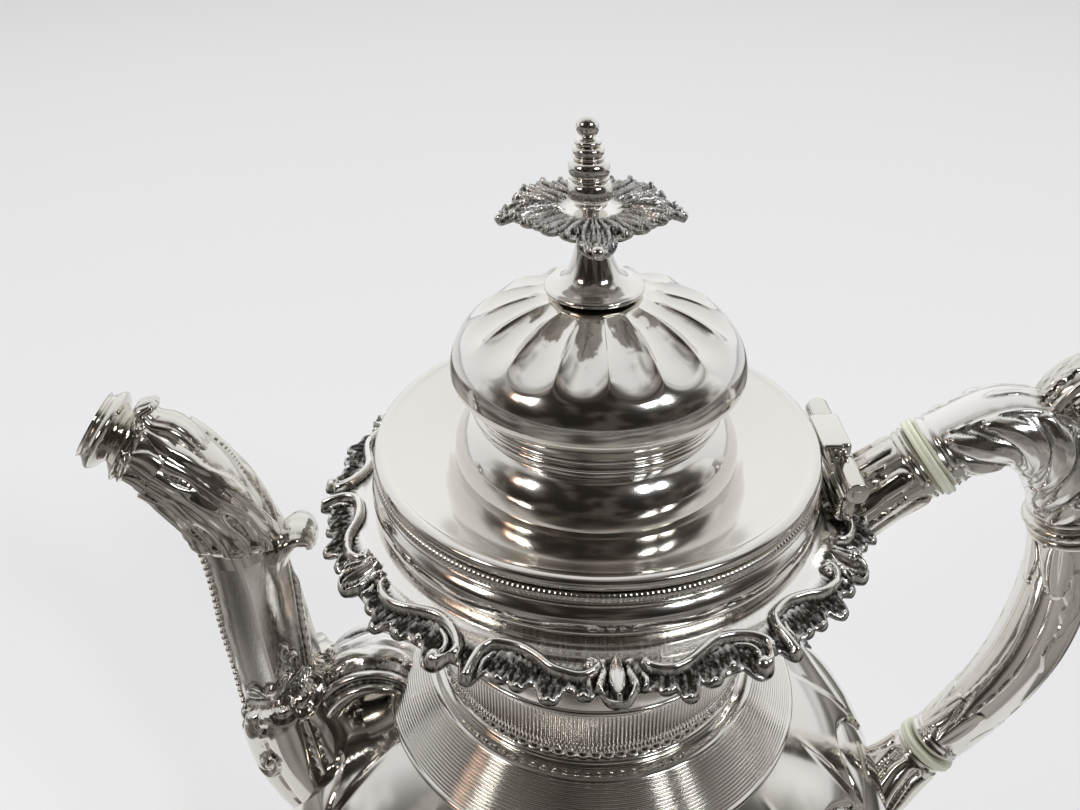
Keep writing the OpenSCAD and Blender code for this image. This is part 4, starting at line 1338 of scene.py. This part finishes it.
class POT_OT_elbow(bpy.types.Operator):
    """The upper arm of the handle, wrapped in acanthus"""

    bl_idname = "pot.elbow"
    bl_label = "Handle elbow"

    def execute(self, context):
        path, tilt = stretch(HANDLE, 4.18, 9.8, 34)
        t = np.linspace(4.18, 9.8, len(path))
        ring = 0.5 * np.exp(-(((t - 4.3) / 0.07) ** 2)) + 0.35 * np.exp(-(((t - 4.52) / 0.07) ** 2))
        path[:, 2] += ring
        path[:, 3] += ring

        def wrap(place, angle, rows):
            q, y = sides(place, angle, rows)
            end = place[-1, 0]
            q = q + 0.0 * y
            work = Relief(q, y)
            work.ridge([(4.4, 4.5), (5.2, 12), (4.8, 22), (3.4, 29), (0, 33)], 0.5, 0.4)
            work.leaf([(0, 13.0), (0, 17.0), (0, 22.5)], 1.8, 0.5, vein=0.4, notches=2)
            work.leaf([(2.6, 26.0), (1.4, 24.0), (0.0, 22.0)], 1.0, 0.5)
            for k in range(7):
                y0 = 1.0 + 7.2 * k
                work.leaf([(6.4, y0 - 4), (11.8, y0 + 1.5), (19.5, y0 + 9.5)], 2.6, 0.75, vein=-0.2, tip=0.6)
                work.ridge([(6.2, y0 - 0.6), (12.4, y0 + 4.6), (21.5, y0 + 13)], 0.45, 0.5)
                work.leaf([(22.0, y0 - 2), (24.6, y0 + 4.5), (25.4, y0 + 10)], 2.6, 0.6, vein=0.3,
                          notches=2, tip=0.5)
            work.scroll(12.4, end - 7.5, 2.6, 1.2, 120, 1, 0.7, 1.0)
            return work.grid() * smooth_step(2.6, 4.6, y) * smooth_step(0.2, 1.6, end - y)

        piece = swept("handle_elbow_casting", path, 168, WALL, wrap, tilt=tilt)
        dress(piece, "worn_silver", "pot", "handle_elbow")
        return {"FINISHED"}


class POT_OT_thumb_scroll(bpy.types.Operator):
    """The open scroll for the thumb"""

    bl_idname = "pot.thumb_scroll"
    bl_label = "Thumb scroll"

    def execute(self, context):
        stations = np.array([(91.0, 197.6, 2.4, 3.8), (91.8, 202.6, 2.5, 4.1), (94.4, 206.8, 2.5, 4.3),
                             (98.6, 209.3, 2.5, 4.4), (103.4, 208.8, 2.4, 4.3), (106.4, 205.4, 2.3, 4.0),
                             (106.0, 200.8, 2.2, 3.6), (102.4, 198.8, 2.0, 3.2), (99.2, 200.6, 1.8, 2.9),
                             (99.6, 203.2, 1.6, 2.6)])
        path, tilt = stretch(stations, 0, 9, 22)
        ends, turn = rounded_ends(path, False, True)
        turn[:len(tilt)] = tilt
        turn[len(tilt):] = tilt[-1]

        def fold(place, angle, rows):
            q, y = sides(place, angle, rows)
            end = place[-1, 0]
            work = Relief(q, y)
            work.leaf([(0, 0), (0, end * 0.5), (0, end - 3)], 2.2, 0.8, vein=0.6, notches=12, tip=0.5)
            work.ridge([(3.6, 0), (3.8, end * 0.5), (2.9, end - 2)], 0.6, 0.75)
            work.ridge([(6.4, 0), (6.2, end * 0.5), (4.8, end - 2)], 0.6, 0.7)
            return work.grid()

        piece = swept("thumb_scroll_casting", ends, 96, relief=fold, tilt=turn, closed=True)
        eye_work = bmesh.new()
        for y in (-3.0, 3.0):
            ball(eye_work, (100.2, y, 203.6), 1.6, 12)
        mesh = bpy.data.meshes.new("thumb_scroll_eye")
        eye_work.to_mesh(mesh)
        eye_work.free()
        mesh.shade_smooth()
        eye = bpy.data.objects.new("thumb_scroll_eye", mesh)
        bpy.context.scene.collection.objects.link(eye)
        dress(join_sheets("thumb_scroll_with_eye", [piece, eye]), "cast_silver", "pot", "thumb_scroll")
        return {"FINISHED"}


class POT_OT_knuckle(bpy.types.Operator):
    """The three rings between the elbow and the grip"""

    bl_idname = "pot.knuckle"
    bl_label = "Knuckle rings"

    def execute(self, context):
        path, tilt = stretch(HANDLE, 9.62, 10.42, 90)
        t = np.linspace(9.62, 10.42, len(path))
        grow = np.zeros(len(path))
        for at, wide, high in ((9.74, 0.085, 0.7), (10.0, 0.125, 1.55), (10.27, 0.085, 0.75)):
            grow = np.maximum(grow, high * np.sqrt(np.clip(1 - ((t - at) / wide) ** 2, 0, 1)))
        path[:, 2] += grow + 0.1
        path[:, 3] += grow + 0.1

        def rope(place, angle, rows):
            middle = np.exp(-(((t[:, None] - 10.0) / 0.1) ** 2))
            return 0.18 * middle * (np.abs(np.sin(angle * 14 + place * 1.4)) - 0.5)

        piece = swept("handle_knuckle_rings", path, 144, 1.6, rope, tilt=tilt, crease=32)
        dress(piece, "cast_silver", "pot", "knuckle_ring")
        return {"FINISHED"}


class POT_OT_grip(bpy.types.Operator):
    """The fluted grip with a leaf under the knuckle"""

    bl_idname = "pot.grip"
    bl_label = "Handle grip"

    def execute(self, context):
        path, tilt = stretch(HANDLE, 10.2, 16.82, 32)
        t = np.linspace(10.2, 16.82, len(path))
        ring = 0.5 * np.exp(-(((t - 16.7) / 0.07) ** 2)) + 0.35 * np.exp(-(((t - 16.48) / 0.07) ** 2))
        path[:, 2] += ring
        path[:, 3] += ring

        def fluting(place, angle, rows):
            q, y = sides(place, angle, rows)
            end = place[-1, 0]
            work = Relief(q, y)
            for x0, x1 in ((4.0, 3.2), (7.6, 6.4), (15.4, 13.6), (19.4, 17.0)):
                work.ridge([(x0, 14), (x0 + 0.3, 40), (x0, 62), (x1, end - 4)], 0.4, 0.28)
            for x0, x1 in ((0.0, 0.0), (7.8, 7.4), (15.6, 15.2), (23.0, 22.4)):
                work.leaf([(x0, 0.2), (x0, 6.5), (x1, 15.0)], 3.4, 0.55, vein=0.4, notches=0, tip=0.5)
            work.leaf([(11.6, 9.0), (11.0, 18.0), (12.0, 27.0)], 2.4, 0.6, vein=0.5, notches=3, tip=0.4)
            work.ridge([(12.0, 27.0), (13.0, 33.0), (11.0, 39.0)], 0.5, 0.5)
            for x0 in (0.0, 7.0, 14.0, 20.0):
                work.leaf([(x0, end - 4.0), (x0, end - 9), (x0, end - 17)], 2.9, 0.4, vein=0.4,
                          notches=0, tip=0.5)
            return work.grid() * smooth_step(0.0, 1.4, y) * smooth_step(3.0, 4.6, end - y)

        piece = swept("handle_fluted_grip", path, 168, WALL, fluting, tilt=tilt)
        dress(piece, "polished_silver", "pot", "handle_grip")
        return {"FINISHED"}


# ---------------------------------------------------------------- lid


class POT_OT_lid_plate(bpy.types.Operator):
    """The broad dished plate of the lid and the waisted bulge on it"""

    bl_idname = "pot.lid_plate"
    bl_label = "Lid plate"

    def execute(self, context):
        under = np.array([[23.0, LID_Z - 5.2], [29, LID_Z - 5.15], [36, LID_Z - 3.25], [40.9, LID_Z - 2.35],
                          [44.5, LID_Z - 2.35]])
        edge = through([(44.5, LID_Z - 2.35), (44.95, LID_Z - 2.0), (45.15, LID_Z - 1.2), (44.95, LID_Z - 0.4),
                        (44.4, LID_Z + 0.05), (43.8, LID_Z + 0.2), (43.2, LID_Z + 0.05),
                        (42.7, LID_Z - 0.25)], 40)
        top = through([(42.7, LID_Z - 0.25), (41.6, LID_Z - 0.55), (38, LID_Z - 1.35), (34, LID_Z - 2.45),
                       (30.5, LID_Z - 3.45), (28.5, LID_Z - 3.85), (23.0, LID_Z - 4.0)], 60)
        line = np.vstack([under, edge[1:], top[1:]])
        dress(turned("lid_plate_spun", line, np.zeros((0, 2)), 384), "polished_silver", "lid", "lid_plate")

        z0 = LID_Z - 3.95
        line = through([(28.2, z0), (28.75, z0 + 0.8), (28.85, z0 + 2.0), (28.6, z0 + 3.8), (27.9, z0 + 5.6),
                        (26.8, z0 + 7.4), (25.6, z0 + 8.8), (24.7, z0 + 9.5), (24.3, z0 + 9.8),
                        (24.15, z0 + 10.35)], 110)
        _, back = shell(line, 1.0)
        dress(turned("lid_bulge_spun", line, back[::6], 360), "polished_silver", "lid", "lid_bulge")

        top = LID_Z - 2.45
        line = np.vstack([[[39.5, top - 5.3]], arc(39.9, top - 4.7, 0.7, 0.6, -90, 0, 8),
                          [[40.6, top - 0.15]], [[39.5, top - 0.4]]])
        dress(turned("lid_bezel_ring", line, [[39.4, top - 1.5], [39.4, top - 4.6]], 240),
              "plain_silver", "lid", "lid_bezel")
        return {"FINISHED"}


class POT_OT_dome(bpy.types.Operator):
    """The onion dome of the lid with its tapering flutes"""

    bl_idname = "pot.dome"
    bl_label = "Lid dome"

    def execute(self, context):
        z0 = LID_Z + 6.45
        rise = np.vstack([
            straight([(24.1, z0), (24.1, z0 + 0.3)], 0.15), arc(24.2, z0 + 1.35, 0.95, 0.95, -75, 75, 14),
            arc(24.1, z0 + 2.95, 0.6, 0.6, -70, 70, 10), straight([(24.1, z0 + 3.7), (24.15, z0 + 4.7)], 0.2),
            through([(24.3, z0 + 5.15), (25.4, z0 + 5.75), (26.8, z0 + 6.45), (28.0, z0 + 7.5),
                     (28.7, z0 + 8.8), (28.93, z0 + 9.85)], 40)])
        t = np.radians(np.linspace(0, 74, 130))
        cap = np.column_stack([28.93 * np.cos(t) ** 0.9, z0 + 9.85 + 15.7 * np.sin(t)])
        crown = through([tuple(cap[-1]), (6.4, LID_Z + 31.7), (4.0, LID_Z + 31.95), (1.62, LID_Z + 32.0)], 20)
        line = np.vstack([rise, cap[1:], crown[1:]])
        count, depth = sizes().flutes, sizes().flute_depth / MM
        low, high = 218.6, LID_Z + 31.6

        def fluting(angle, rows, place):
            turn, z = whole(angle, rows)
            r = rows[None, :, 0]
            part = 360.0 / count
            off = (turn % part) - part / 2
            arch = 0.5 * r * math.radians(part)
            side = (1 - np.abs(off) / (part / 2)) * arch
            dip = 3.2 * (1 - np.sqrt(np.clip(1 - (off / (part / 2)) ** 2, 0, 1)))
            fade = smooth_step(low - 0.2, low + 5.0, z - dip * 0.6)
            k = np.clip(side / arch, 0, 1)
            scoop = k * (2 - k) * fade * smooth_step(high, high - 1.2, z)
            lip = 0.12 * np.exp(-((side / 0.35) ** 2)) * fade * smooth_step(high, high - 1.6, z)
            return -depth * scoop * np.clip(r / 18, 0.3, 1) + lip

        _, back = shell(line, 1.1)
        dress(turned("lid_dome_fluted", line, back[::5], 864, fluting, follow=1.0, crease=30, reach=1),
              "polished_silver", "lid", "lid_dome")
        return {"FINISHED"}


class POT_OT_finial(bpy.types.Operator):
    """The finial: flared stem, ruffled shell disc and beaded spire"""

    bl_idname = "pot.finial"
    bl_label = "Finial"

    def execute(self, context):
        z0 = LID_Z + 32.05
        line = through([(8.4, z0), (9.15, z0 + 0.1), (9.45, z0 + 0.55), (9.2, z0 + 1.05), (8.5, z0 + 1.25),
                        (7.7, z0 + 1.4), (6.4, z0 + 2.0), (5.2, z0 + 3.2), (4.4, z0 + 4.9), (3.7, z0 + 7.0),
                        (3.15, z0 + 9.2), (3.1, z0 + 10.8), (3.5, z0 + 12.2), (4.8, z0 + 13.6),
                        (7.4, z0 + 15.3)], 110)
        line = np.vstack([[[1.6, z0]], line, [[1.6, z0 + 15.3]]])
        dress(leaned(turned("finial_stem_turned", line, np.zeros((0, 2)), 144)), "polished_silver", "lid",
              "finial_stem")

        per, rows = 180, 54
        turn = np.arange(per) * 0.5 * 1.0
        edge = np.full(per, 13.4)
        for a, b, w in ((0, 17.1, 15), (90, 17.1, 15), (20, 14.9, 8), (70, 14.9, 8), (35, 15.2, 7.5),
                        (55, 15.2, 7.5), (45, 14.7, 6)):
            u = (turn - a) / w
            edge = np.maximum(edge, 12.8 + (b - 12.8) * np.sqrt(np.clip(1 - np.abs(u) ** 2.4, 0, 1)))
        radius = 1.75 + (edge[:, None] - 1.75) * np.linspace(0, 1, rows)[None, :] ** 0.85
        around = np.broadcast_to(turn[:, None], radius.shape)
        total = np.zeros(radius.shape)
        for shift in (0, 90):
            work = Relief((around - shift) * 0.24, radius)

            def flat(points):
                return [(a * 0.24, b) for a, b in points]

            work.leaf(flat([(0, 5.2), (0, 11), (0, 16.4)]), 1.15, 1.1, vein=0.5, notches=4, tip=0.5)
            for s in (-1, 1):
                work.ridge(flat([(s * 5, 6.5), (s * 8, 10), (s * 9.5, 13.5), (s * 4.5, 16.3)]), 0.5, 1.0)
                work.ridge(flat([(s * 14, 7.5), (s * 19, 11), (s * 20, 14.4)]), 0.55, 1.0)
                work.ridge(flat([(s * 26, 7.0), (s * 34, 11), (s * 35, 14.6)]), 0.55, 1.0)
                work.ridge(flat([(s * 30, 6.2), (s * 27, 10.5), (s * 27.5, 13.4)]), 0.45, 0.8)
                work.ridge(flat([(s * 42, 6.8), (s * 43.5, 10.5), (s * 41, 14.0)]), 0.45, 0.85)
                work.scroll(s * 14.5 * 0.24, 12.4, 0.9, 1.1, 90 + 90 * s, s, 0.34, 1.0)
                work.bead(s * 20 * 0.24, 14.0, 0.62, 1.1)
                work.bead(s * 35 * 0.24, 14.3, 0.62, 1.1)
                work.bead(s * 9 * 0.24, 15.6, 0.6, 1.1)
            work.bead(0, 16.0, 1.05, 1.7)
            total = np.maximum(total, work.grid())
        rough = 0.14 * np.sin(turn[:, None] * 1.9 + radius * 5.2) * np.sin(turn[:, None] * 0.8 - radius * 3.7)
        h = (total + rough) * smooth_step(4.2, 7.0, radius)
        side = np.clip((edge[:, None] - radius) / 0.5, 0, 1)
        h = h * np.sqrt(1 - (1 - side) ** 2)
        dark = hollows(np.tile(h, (3, 1)), 2)[per:2 * per] + 0.35 * smooth_step(5.0, 8.0, radius)
        wave = np.cos(np.radians(4 * turn))[:, None]

        def lift(rr):
            cup = 0.55 * smooth_step(3.5, 9.0, rr)
            fall = -2.3 * smooth_step(11.0, 17.0, rr) * np.clip(wave, 0, 1) ** 1.5
            return LID_Z + 47.6 + cup + fall + 0.5 * smooth_step(10, 15, rr) * np.clip(-wave, 0, 1)

        under_r = np.stack([edge - 0.02, edge - 0.35, edge - 2.0, 0 * edge + 9.0, 0 * edge + 6.5,
                            0 * edge + 1.75], 1)
        under = lift(under_r) - np.array([0.35, 0.8, 0.9, 0.95, 1.0, 0.15])[None, :] + 0.0
        r = np.tile(np.hstack([radius, under_r]), (4, 1))
        z = np.tile(np.hstack([lift(radius) + h, under]), (4, 1))
        dark = np.tile(np.hstack([np.clip(dark, 0, 1), np.full(under_r.shape, 0.4)]), (4, 1))
        azimuth = np.radians(np.arange(4 * per) * 0.5 + FRONT)[:, None]
        grid = np.stack([r * np.cos(azimuth), r * np.sin(azimuth), z], -1)
        parts = [sheet("finial_disc_sheet", grid, True, True, dark, 42)]
        work = bmesh.new()
        for k in range(4):
            a = math.radians(FRONT + 90 * k)
            ball(work, (16.2 * math.cos(a), 16.2 * math.sin(a), LID_Z + 46.2), 1.25, 12)
        mesh = bpy.data.meshes.new("finial_disc_balls")
        work.to_mesh(mesh)
        work.free()
        mesh.shade_smooth()
        balls = bpy.data.objects.new("finial_disc_balls", mesh)
        bpy.context.scene.collection.objects.link(balls)
        parts.append(balls)
        dress(leaned(join_sheets("finial_ruffled_disc", parts)), "worn_silver", "lid", "finial_shell_disc")

        z0 = LID_Z + 49.0
        line = [(0.0, z0 - 0.6), (3.0, z0 - 0.5)]
        for at, half, r, base in ((2.15, 1.95, 4.05, 3.0), (4.55, 0.32, 3.55, 3.1), (6.2, 1.5, 3.75, 2.7),
                                  (8.1, 0.3, 2.9, 2.4), (9.25, 0.85, 2.85, 2.1), (10.75, 0.55, 2.45, 1.7)):
            t = np.radians(np.linspace(-90, 90, 16))
            line += [(base + (r - base) * math.cos(a), z0 + at + half * math.sin(a)) for a in t]
        line += [(1.35, z0 + 11.45)]
        line += [tuple(p) for p in arc(0, z0 + 13.3, 2.05, 2.0, -55, 90, 26)]
        line = np.array(line)
        line[-1, 0] = 0.0
        dress(leaned(turned("finial_spire_turned", line, np.zeros((0, 2)), 96, poles=True, crease=50)),
              "polished_silver", "lid", "finial_spire")
        (x0, x1), _, (z0, z1) = np.array(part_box("finial_stud")).reshape(2, 3).T / MM
        rod = np.vstack([[[0, z0]], straight([(1.2, z0), (1.5, z0 + 0.3), (1.5, z1 - 0.3), (1.2, z1)], 1.0),
                         [[0, z1]]])
        dress(leaned(turned("finial_stud_turned", rod, np.zeros((0, 2)), 48, poles=True)), "plain_silver",
              "lid", "finial_stud")
        return {"FINISHED"}


class POT_OT_hinge(bpy.types.Operator):
    """The hinge knuckles, their bracket, the leaf and the pin"""

    bl_idname = "pot.hinge"
    bl_label = "Hinge"

    def execute(self, context):
        parts = []
        for s in (-1, 1):
            y0, y1 = sorted((s * 6.35, s * 16.0))
            parts.append(barrel("hinge_knuckle", 50.0, 191.0, y0, y1, 2.4, 1.05))
            parts.append(block("hinge_foot", (47.0, 50.4), (y0 + 0.1, y1 - 0.1), (183.8, 190.2), 1.2))
        parts.append(block("hinge_bridge", (46.8, 50.5), (-15.6, 15.6), (183.75, 187.6), 1.2))
        dress(join_sheets("hinge_bracket_made", parts), "cast_silver", "pot", "hinge_bracket")
        parts = [barrel("leaf_knuckle", 50.0, 191.0, -6.0, 6.0, 2.4, 1.1),
                 block("leaf_post", (48.75, 51.3), (-5.9, 5.9), (192.6, 195.9), 0.9),
                 block("leaf_tongue", (45.35, 51.0), (-5.95, 5.95), (193.95, 195.65), 0.75)]
        dress(join_sheets("hinge_leaf_made", parts), "polished_silver", "lid", "hinge_leaf")
        dress(barrel("hinge_pin_turned", 50.0, 191.0, -16.4, 16.4, 1.0), "plain_silver", "pot", "hinge_pin")
        return {"FINISHED"}


class POT_OT_small_parts(bpy.types.Operator):
    """Finishes for the small parts kept from the frame"""

    bl_idname = "pot.small_parts"
    bl_label = "Small parts"

    def execute(self, context):
        for name in ("strainer_plate", "insulator_pins", "finial_washer", "finial_nut"):
            piece = bpy.data.objects[name]
            piece.data.materials.clear()
            piece.data.materials.append(plain_silver())
        return {"FINISHED"}


# ---------------------------------------------------------------- stage


def floor_finish(colour):
    """Pale painted board with a very soft sheen."""
    made = bpy.data.materials.new("pale_floor")
    made.use_nodes = True
    tree = made.node_tree
    link = tree.links.new
    skin = tree.nodes["Principled BSDF"]
    skin.inputs["Roughness"].default_value = 0.6
    skin.inputs["Specular IOR Level"].default_value = 0.0
    place = node(tree, "ShaderNodeTexCoord")
    soft = node(tree, "ShaderNodeTexNoise", Scale=3.0, Detail=3.0)
    link(place.outputs["Object"], soft.inputs["Vector"])
    mix = node(tree, "ShaderNodeMix", data_type="RGBA")
    mix.inputs["A"].default_value = (*[c * 0.985 for c in colour], 1)
    mix.inputs["B"].default_value = (*colour, 1)
    link(soft.outputs["Fac"], mix.inputs["Factor"])
    link(mix.outputs["Result"], skin.inputs["Base Color"])
    return made


def room_light(strength):
    """The room: pale behind and above the pot, dark and uneven in front of it."""
    world = bpy.data.worlds.new("pale_room")
    world.use_nodes = True
    tree = world.node_tree
    link = tree.links.new
    glow = tree.nodes["Background"]
    place = node(tree, "ShaderNodeTexCoord")
    split = node(tree, "ShaderNodeSeparateXYZ")
    link(place.outputs["Generated"], split.inputs["Vector"])
    lean = node(tree, "ShaderNodeMath", operation="MULTIPLY_ADD")
    lean.inputs[1].default_value = 0.12
    link(split.outputs["Z"], lean.inputs[0])
    link(split.outputs["Y"], lean.inputs[2])
    ramp = node(tree, "ShaderNodeValToRGB")
    bar = ramp.color_ramp
    bar.elements[0].position, bar.elements[0].color = 0.0, (0.035, 0.03, 0.026, 1)
    bar.elements[1].position, bar.elements[1].color = 1.0, (1.12, 1.12, 1.13, 1)
    for at, shade in ((0.30, (0.045, 0.038, 0.033, 1)), (0.42, (0.13, 0.115, 0.105, 1)),
                      (0.50, (0.34, 0.33, 0.315, 1)), (0.60, (0.86, 0.86, 0.87, 1))):
        bar.elements.new(at).color = shade
    half = node(tree, "ShaderNodeMath", operation="MULTIPLY_ADD")
    half.inputs[1].default_value = 0.5
    half.inputs[2].default_value = 0.5
    link(lean.outputs[0], half.inputs[0])
    link(half.outputs[0], ramp.inputs["Fac"])
    uneven = node(tree, "ShaderNodeTexNoise", Scale=3.6, Detail=2.0, Roughness=0.5)
    link(place.outputs["Generated"], uneven.inputs["Vector"])
    patch = node(tree, "ShaderNodeMapRange", From_Min=0.47, From_Max=0.62, To_Min=0.55, To_Max=2.3)
    link(uneven.outputs["Fac"], patch.inputs["Value"])
    dim = node(tree, "ShaderNodeMapRange", From_Min=0.45, From_Max=0.62, To_Min=1.0, To_Max=0.0)
    link(half.outputs[0], dim.inputs["Value"])
    spread = node(tree, "ShaderNodeMix", data_type="FLOAT")
    spread.inputs["A"].default_value = 1.0
    link(dim.outputs["Result"], spread.inputs["Factor"])
    link(patch.outputs["Result"], spread.inputs["B"])
    shade = node(tree, "ShaderNodeVectorMath", operation="SCALE")
    link(ramp.outputs["Color"], shade.inputs["Vector"])
    link(spread.outputs["Result"], shade.inputs["Scale"])
    link(shade.outputs["Vector"], glow.inputs["Color"])
    glow.inputs["Strength"].default_value = strength
    bpy.context.scene.world = world


def lamp(name, direction, distance, wide, high, power, colour):
    """A rectangular lamp aimed at the lid."""
    data = bpy.data.lights.new(name, "AREA")
    data.shape = "RECTANGLE"
    data.size, data.size_y = wide, high
    data.energy = power
    data.color = colour
    made = bpy.data.objects.new(name, data)
    aim = Vector((0, 0, 0.19))
    made.location = aim + Vector(direction).normalized() * distance
    made.rotation_euler = (aim - made.location).to_track_quat("-Z", "Y").to_euler()
    bpy.context.scene.collection.objects.link(made)
    return made


class POT_OT_stage(bpy.types.Operator):
    """Floor, soft light and camera"""

    bl_idname = "pot.stage"
    bl_label = "Stage"

    def execute(self, context):
        stage = context.scene.pot_stage
        work = bmesh.new()
        bmesh.ops.create_circle(work, cap_ends=True, segments=96, radius=7.0)
        mesh = bpy.data.meshes.new("floor")
        work.to_mesh(mesh)
        work.free()
        floor = bpy.data.objects.new("floor", mesh)
        context.scene.collection.objects.link(floor)
        floor.data.materials.append(floor_finish(stage.floor))
        # Painted floor shadow: a dark, patchy sheet in front of and beside the pot that only reflections see, so the
        # silver mirrors a shaded floor instead of the pale one.
        shade = bpy.data.materials.new("dark_board")
        shade.use_nodes = True
        floor_shadow = shade.node_tree.nodes["Principled BSDF"]
        tree = shade.node_tree
        place = node(tree, "ShaderNodeTexCoord")
        uneven = node(tree, "ShaderNodeTexNoise", Scale=2.6, Detail=2.0)
        tree.links.new(place.outputs["Object"], uneven.inputs["Vector"])
        tone = node(tree, "ShaderNodeValToRGB")
        tone.color_ramp.elements[0].position = 0.38
        tone.color_ramp.elements[0].color = (0.035, 0.031, 0.028, 1)
        tone.color_ramp.elements[1].position = 0.66
        tone.color_ramp.elements[1].color = (0.42, 0.40, 0.375, 1)
        tree.links.new(uneven.outputs["Fac"], tone.inputs["Fac"])
        tree.links.new(tone.outputs["Color"], floor_shadow.inputs["Base Color"])
        floor_shadow.inputs["Roughness"].default_value = 0.9
        work = bmesh.new()
        for x0, x1, y0, y1 in ((-4.0, 4.0, -3.5, -0.13), (-4.0, -0.2, -0.13, 0.5), (0.2, 4.0, -0.13, 0.5)):
            work.faces.new([work.verts.new((x, y, 0.0005)) for x, y in
                            ((x0, y0), (x1, y0), (x1, y1), (x0, y1))])
        mesh = bpy.data.meshes.new("dark_board")
        work.to_mesh(mesh)
        work.free()
        mesh.materials.append(shade)
        floor_shadow = bpy.data.objects.new("dark_board", mesh)
        # The painted shadow sheet is seen only in glossy reflections, never by the camera, in diffuse light or in
        # shadows.
        floor_shadow.visible_camera = floor_shadow.visible_diffuse = floor_shadow.visible_shadow = False
        context.scene.collection.objects.link(floor_shadow)
        room_light(stage.sky)
        for made in (
                lamp("lamp_left", (-0.73, -0.456, 0.51), 1.7, 0.20, 0.30, stage.lamp, (1.0, 0.97, 0.93)),
                lamp("lamp_left_warm", (-0.86, -0.36, 0.47), 1.7, 0.16, 0.26, stage.lamp * 0.3,
                     (1.0, 0.66, 0.5)),
                lamp("lamp_right", (0.50, -0.60, 0.60), 1.7, 0.17, 0.30, stage.lamp, (0.97, 0.98, 1.0)),
                lamp("lamp_right_far", (0.68, -0.50, 0.56), 1.7, 0.15, 0.26, stage.lamp * 0.7,
                     (0.97, 0.98, 1.0)),
                lamp("ceiling_wash", (0.0, 0.35, 1.0), 3.0, 3.2, 2.6, stage.wash, (1.0, 1.0, 1.0))):
            made.visible_glossy = made.name != "ceiling_wash"
        eye = bpy.data.cameras.new("front_camera")
        eye.lens, eye.sensor_width = 31.67, 36.0
        eye.clip_start = 0.01
        view = bpy.data.objects.new("front_camera", eye)
        context.scene.collection.objects.link(view)
        down, roll = math.radians(32.47), math.radians(-0.68)
        ahead = Vector((0, math.cos(down), -math.sin(down)))
        up = Vector((0, math.sin(down), math.cos(down)))
        right = Vector((1, 0, 0)) * math.cos(roll) + up * math.sin(roll)
        above = up * math.cos(roll) - Vector((1, 0, 0)) * math.sin(roll)
        turn = Matrix((right, above, -ahead)).transposed().to_4x4()
        view.matrix_world = Matrix.Translation(Vector((-11.35, -161.63, 305.17)) * MM) @ turn
        context.scene.camera = view
        context.scene.view_settings.view_transform = "Standard"
        return {"FINISHED"}


# ---------------------------------------------------------------- panel and run

OPERATORS = (
    POT_OT_foot, POT_OT_belly, POT_OT_shoulder, POT_OT_neck, POT_OT_mouth, POT_OT_collar,
    POT_OT_spout_base, POT_OT_spout_scroll, POT_OT_spout_tube, POT_OT_spout_beads, POT_OT_spout_leaf,
    POT_OT_spout_nozzle, POT_OT_sockets, POT_OT_insulators, POT_OT_elbow, POT_OT_thumb_scroll,
    POT_OT_knuckle, POT_OT_grip, POT_OT_lid_plate, POT_OT_dome, POT_OT_finial, POT_OT_hinge,
    POT_OT_small_parts, POT_OT_stage,
)


class VIEW3D_PT_coffee_pot(bpy.types.Panel):
    """Sizes, finishes and buttons for the coffee pot"""

    bl_label = "Coffee pot"
    bl_space_type = "VIEW_3D"
    bl_region_type = "UI"
    bl_category = "Coffee pot"

    def draw(self, context):
        scene = context.scene
        for group in (scene.pot_sizes, scene.pot_finish, scene.pot_stage):
            box = self.layout.box()
            for name in group.__annotations__:
                box.prop(group, name)
        column = self.layout.column(align=True)
        for kind in OPERATORS:
            column.operator(kind.bl_idname)


CLASSES = (PotSizes, PotFinish, PotStage, *OPERATORS, VIEW3D_PT_coffee_pot)


def register():
    for kind in CLASSES:
        bpy.utils.register_class(kind)
    bpy.types.Scene.pot_sizes = PointerProperty(type=PotSizes)
    bpy.types.Scene.pot_finish = PointerProperty(type=PotFinish)
    bpy.types.Scene.pot_stage = PointerProperty(type=PotStage)


def unregister():
    for name in ("pot_sizes", "pot_finish", "pot_stage"):
        delattr(bpy.types.Scene, name)
    for kind in reversed(CLASSES):
        bpy.utils.unregister_class(kind)


def main():
    register()
    for kind in OPERATORS:
        group, name = kind.bl_idname.split(".")
        getattr(getattr(bpy.ops, group), name)()


if __name__ == "__main__":
    main()
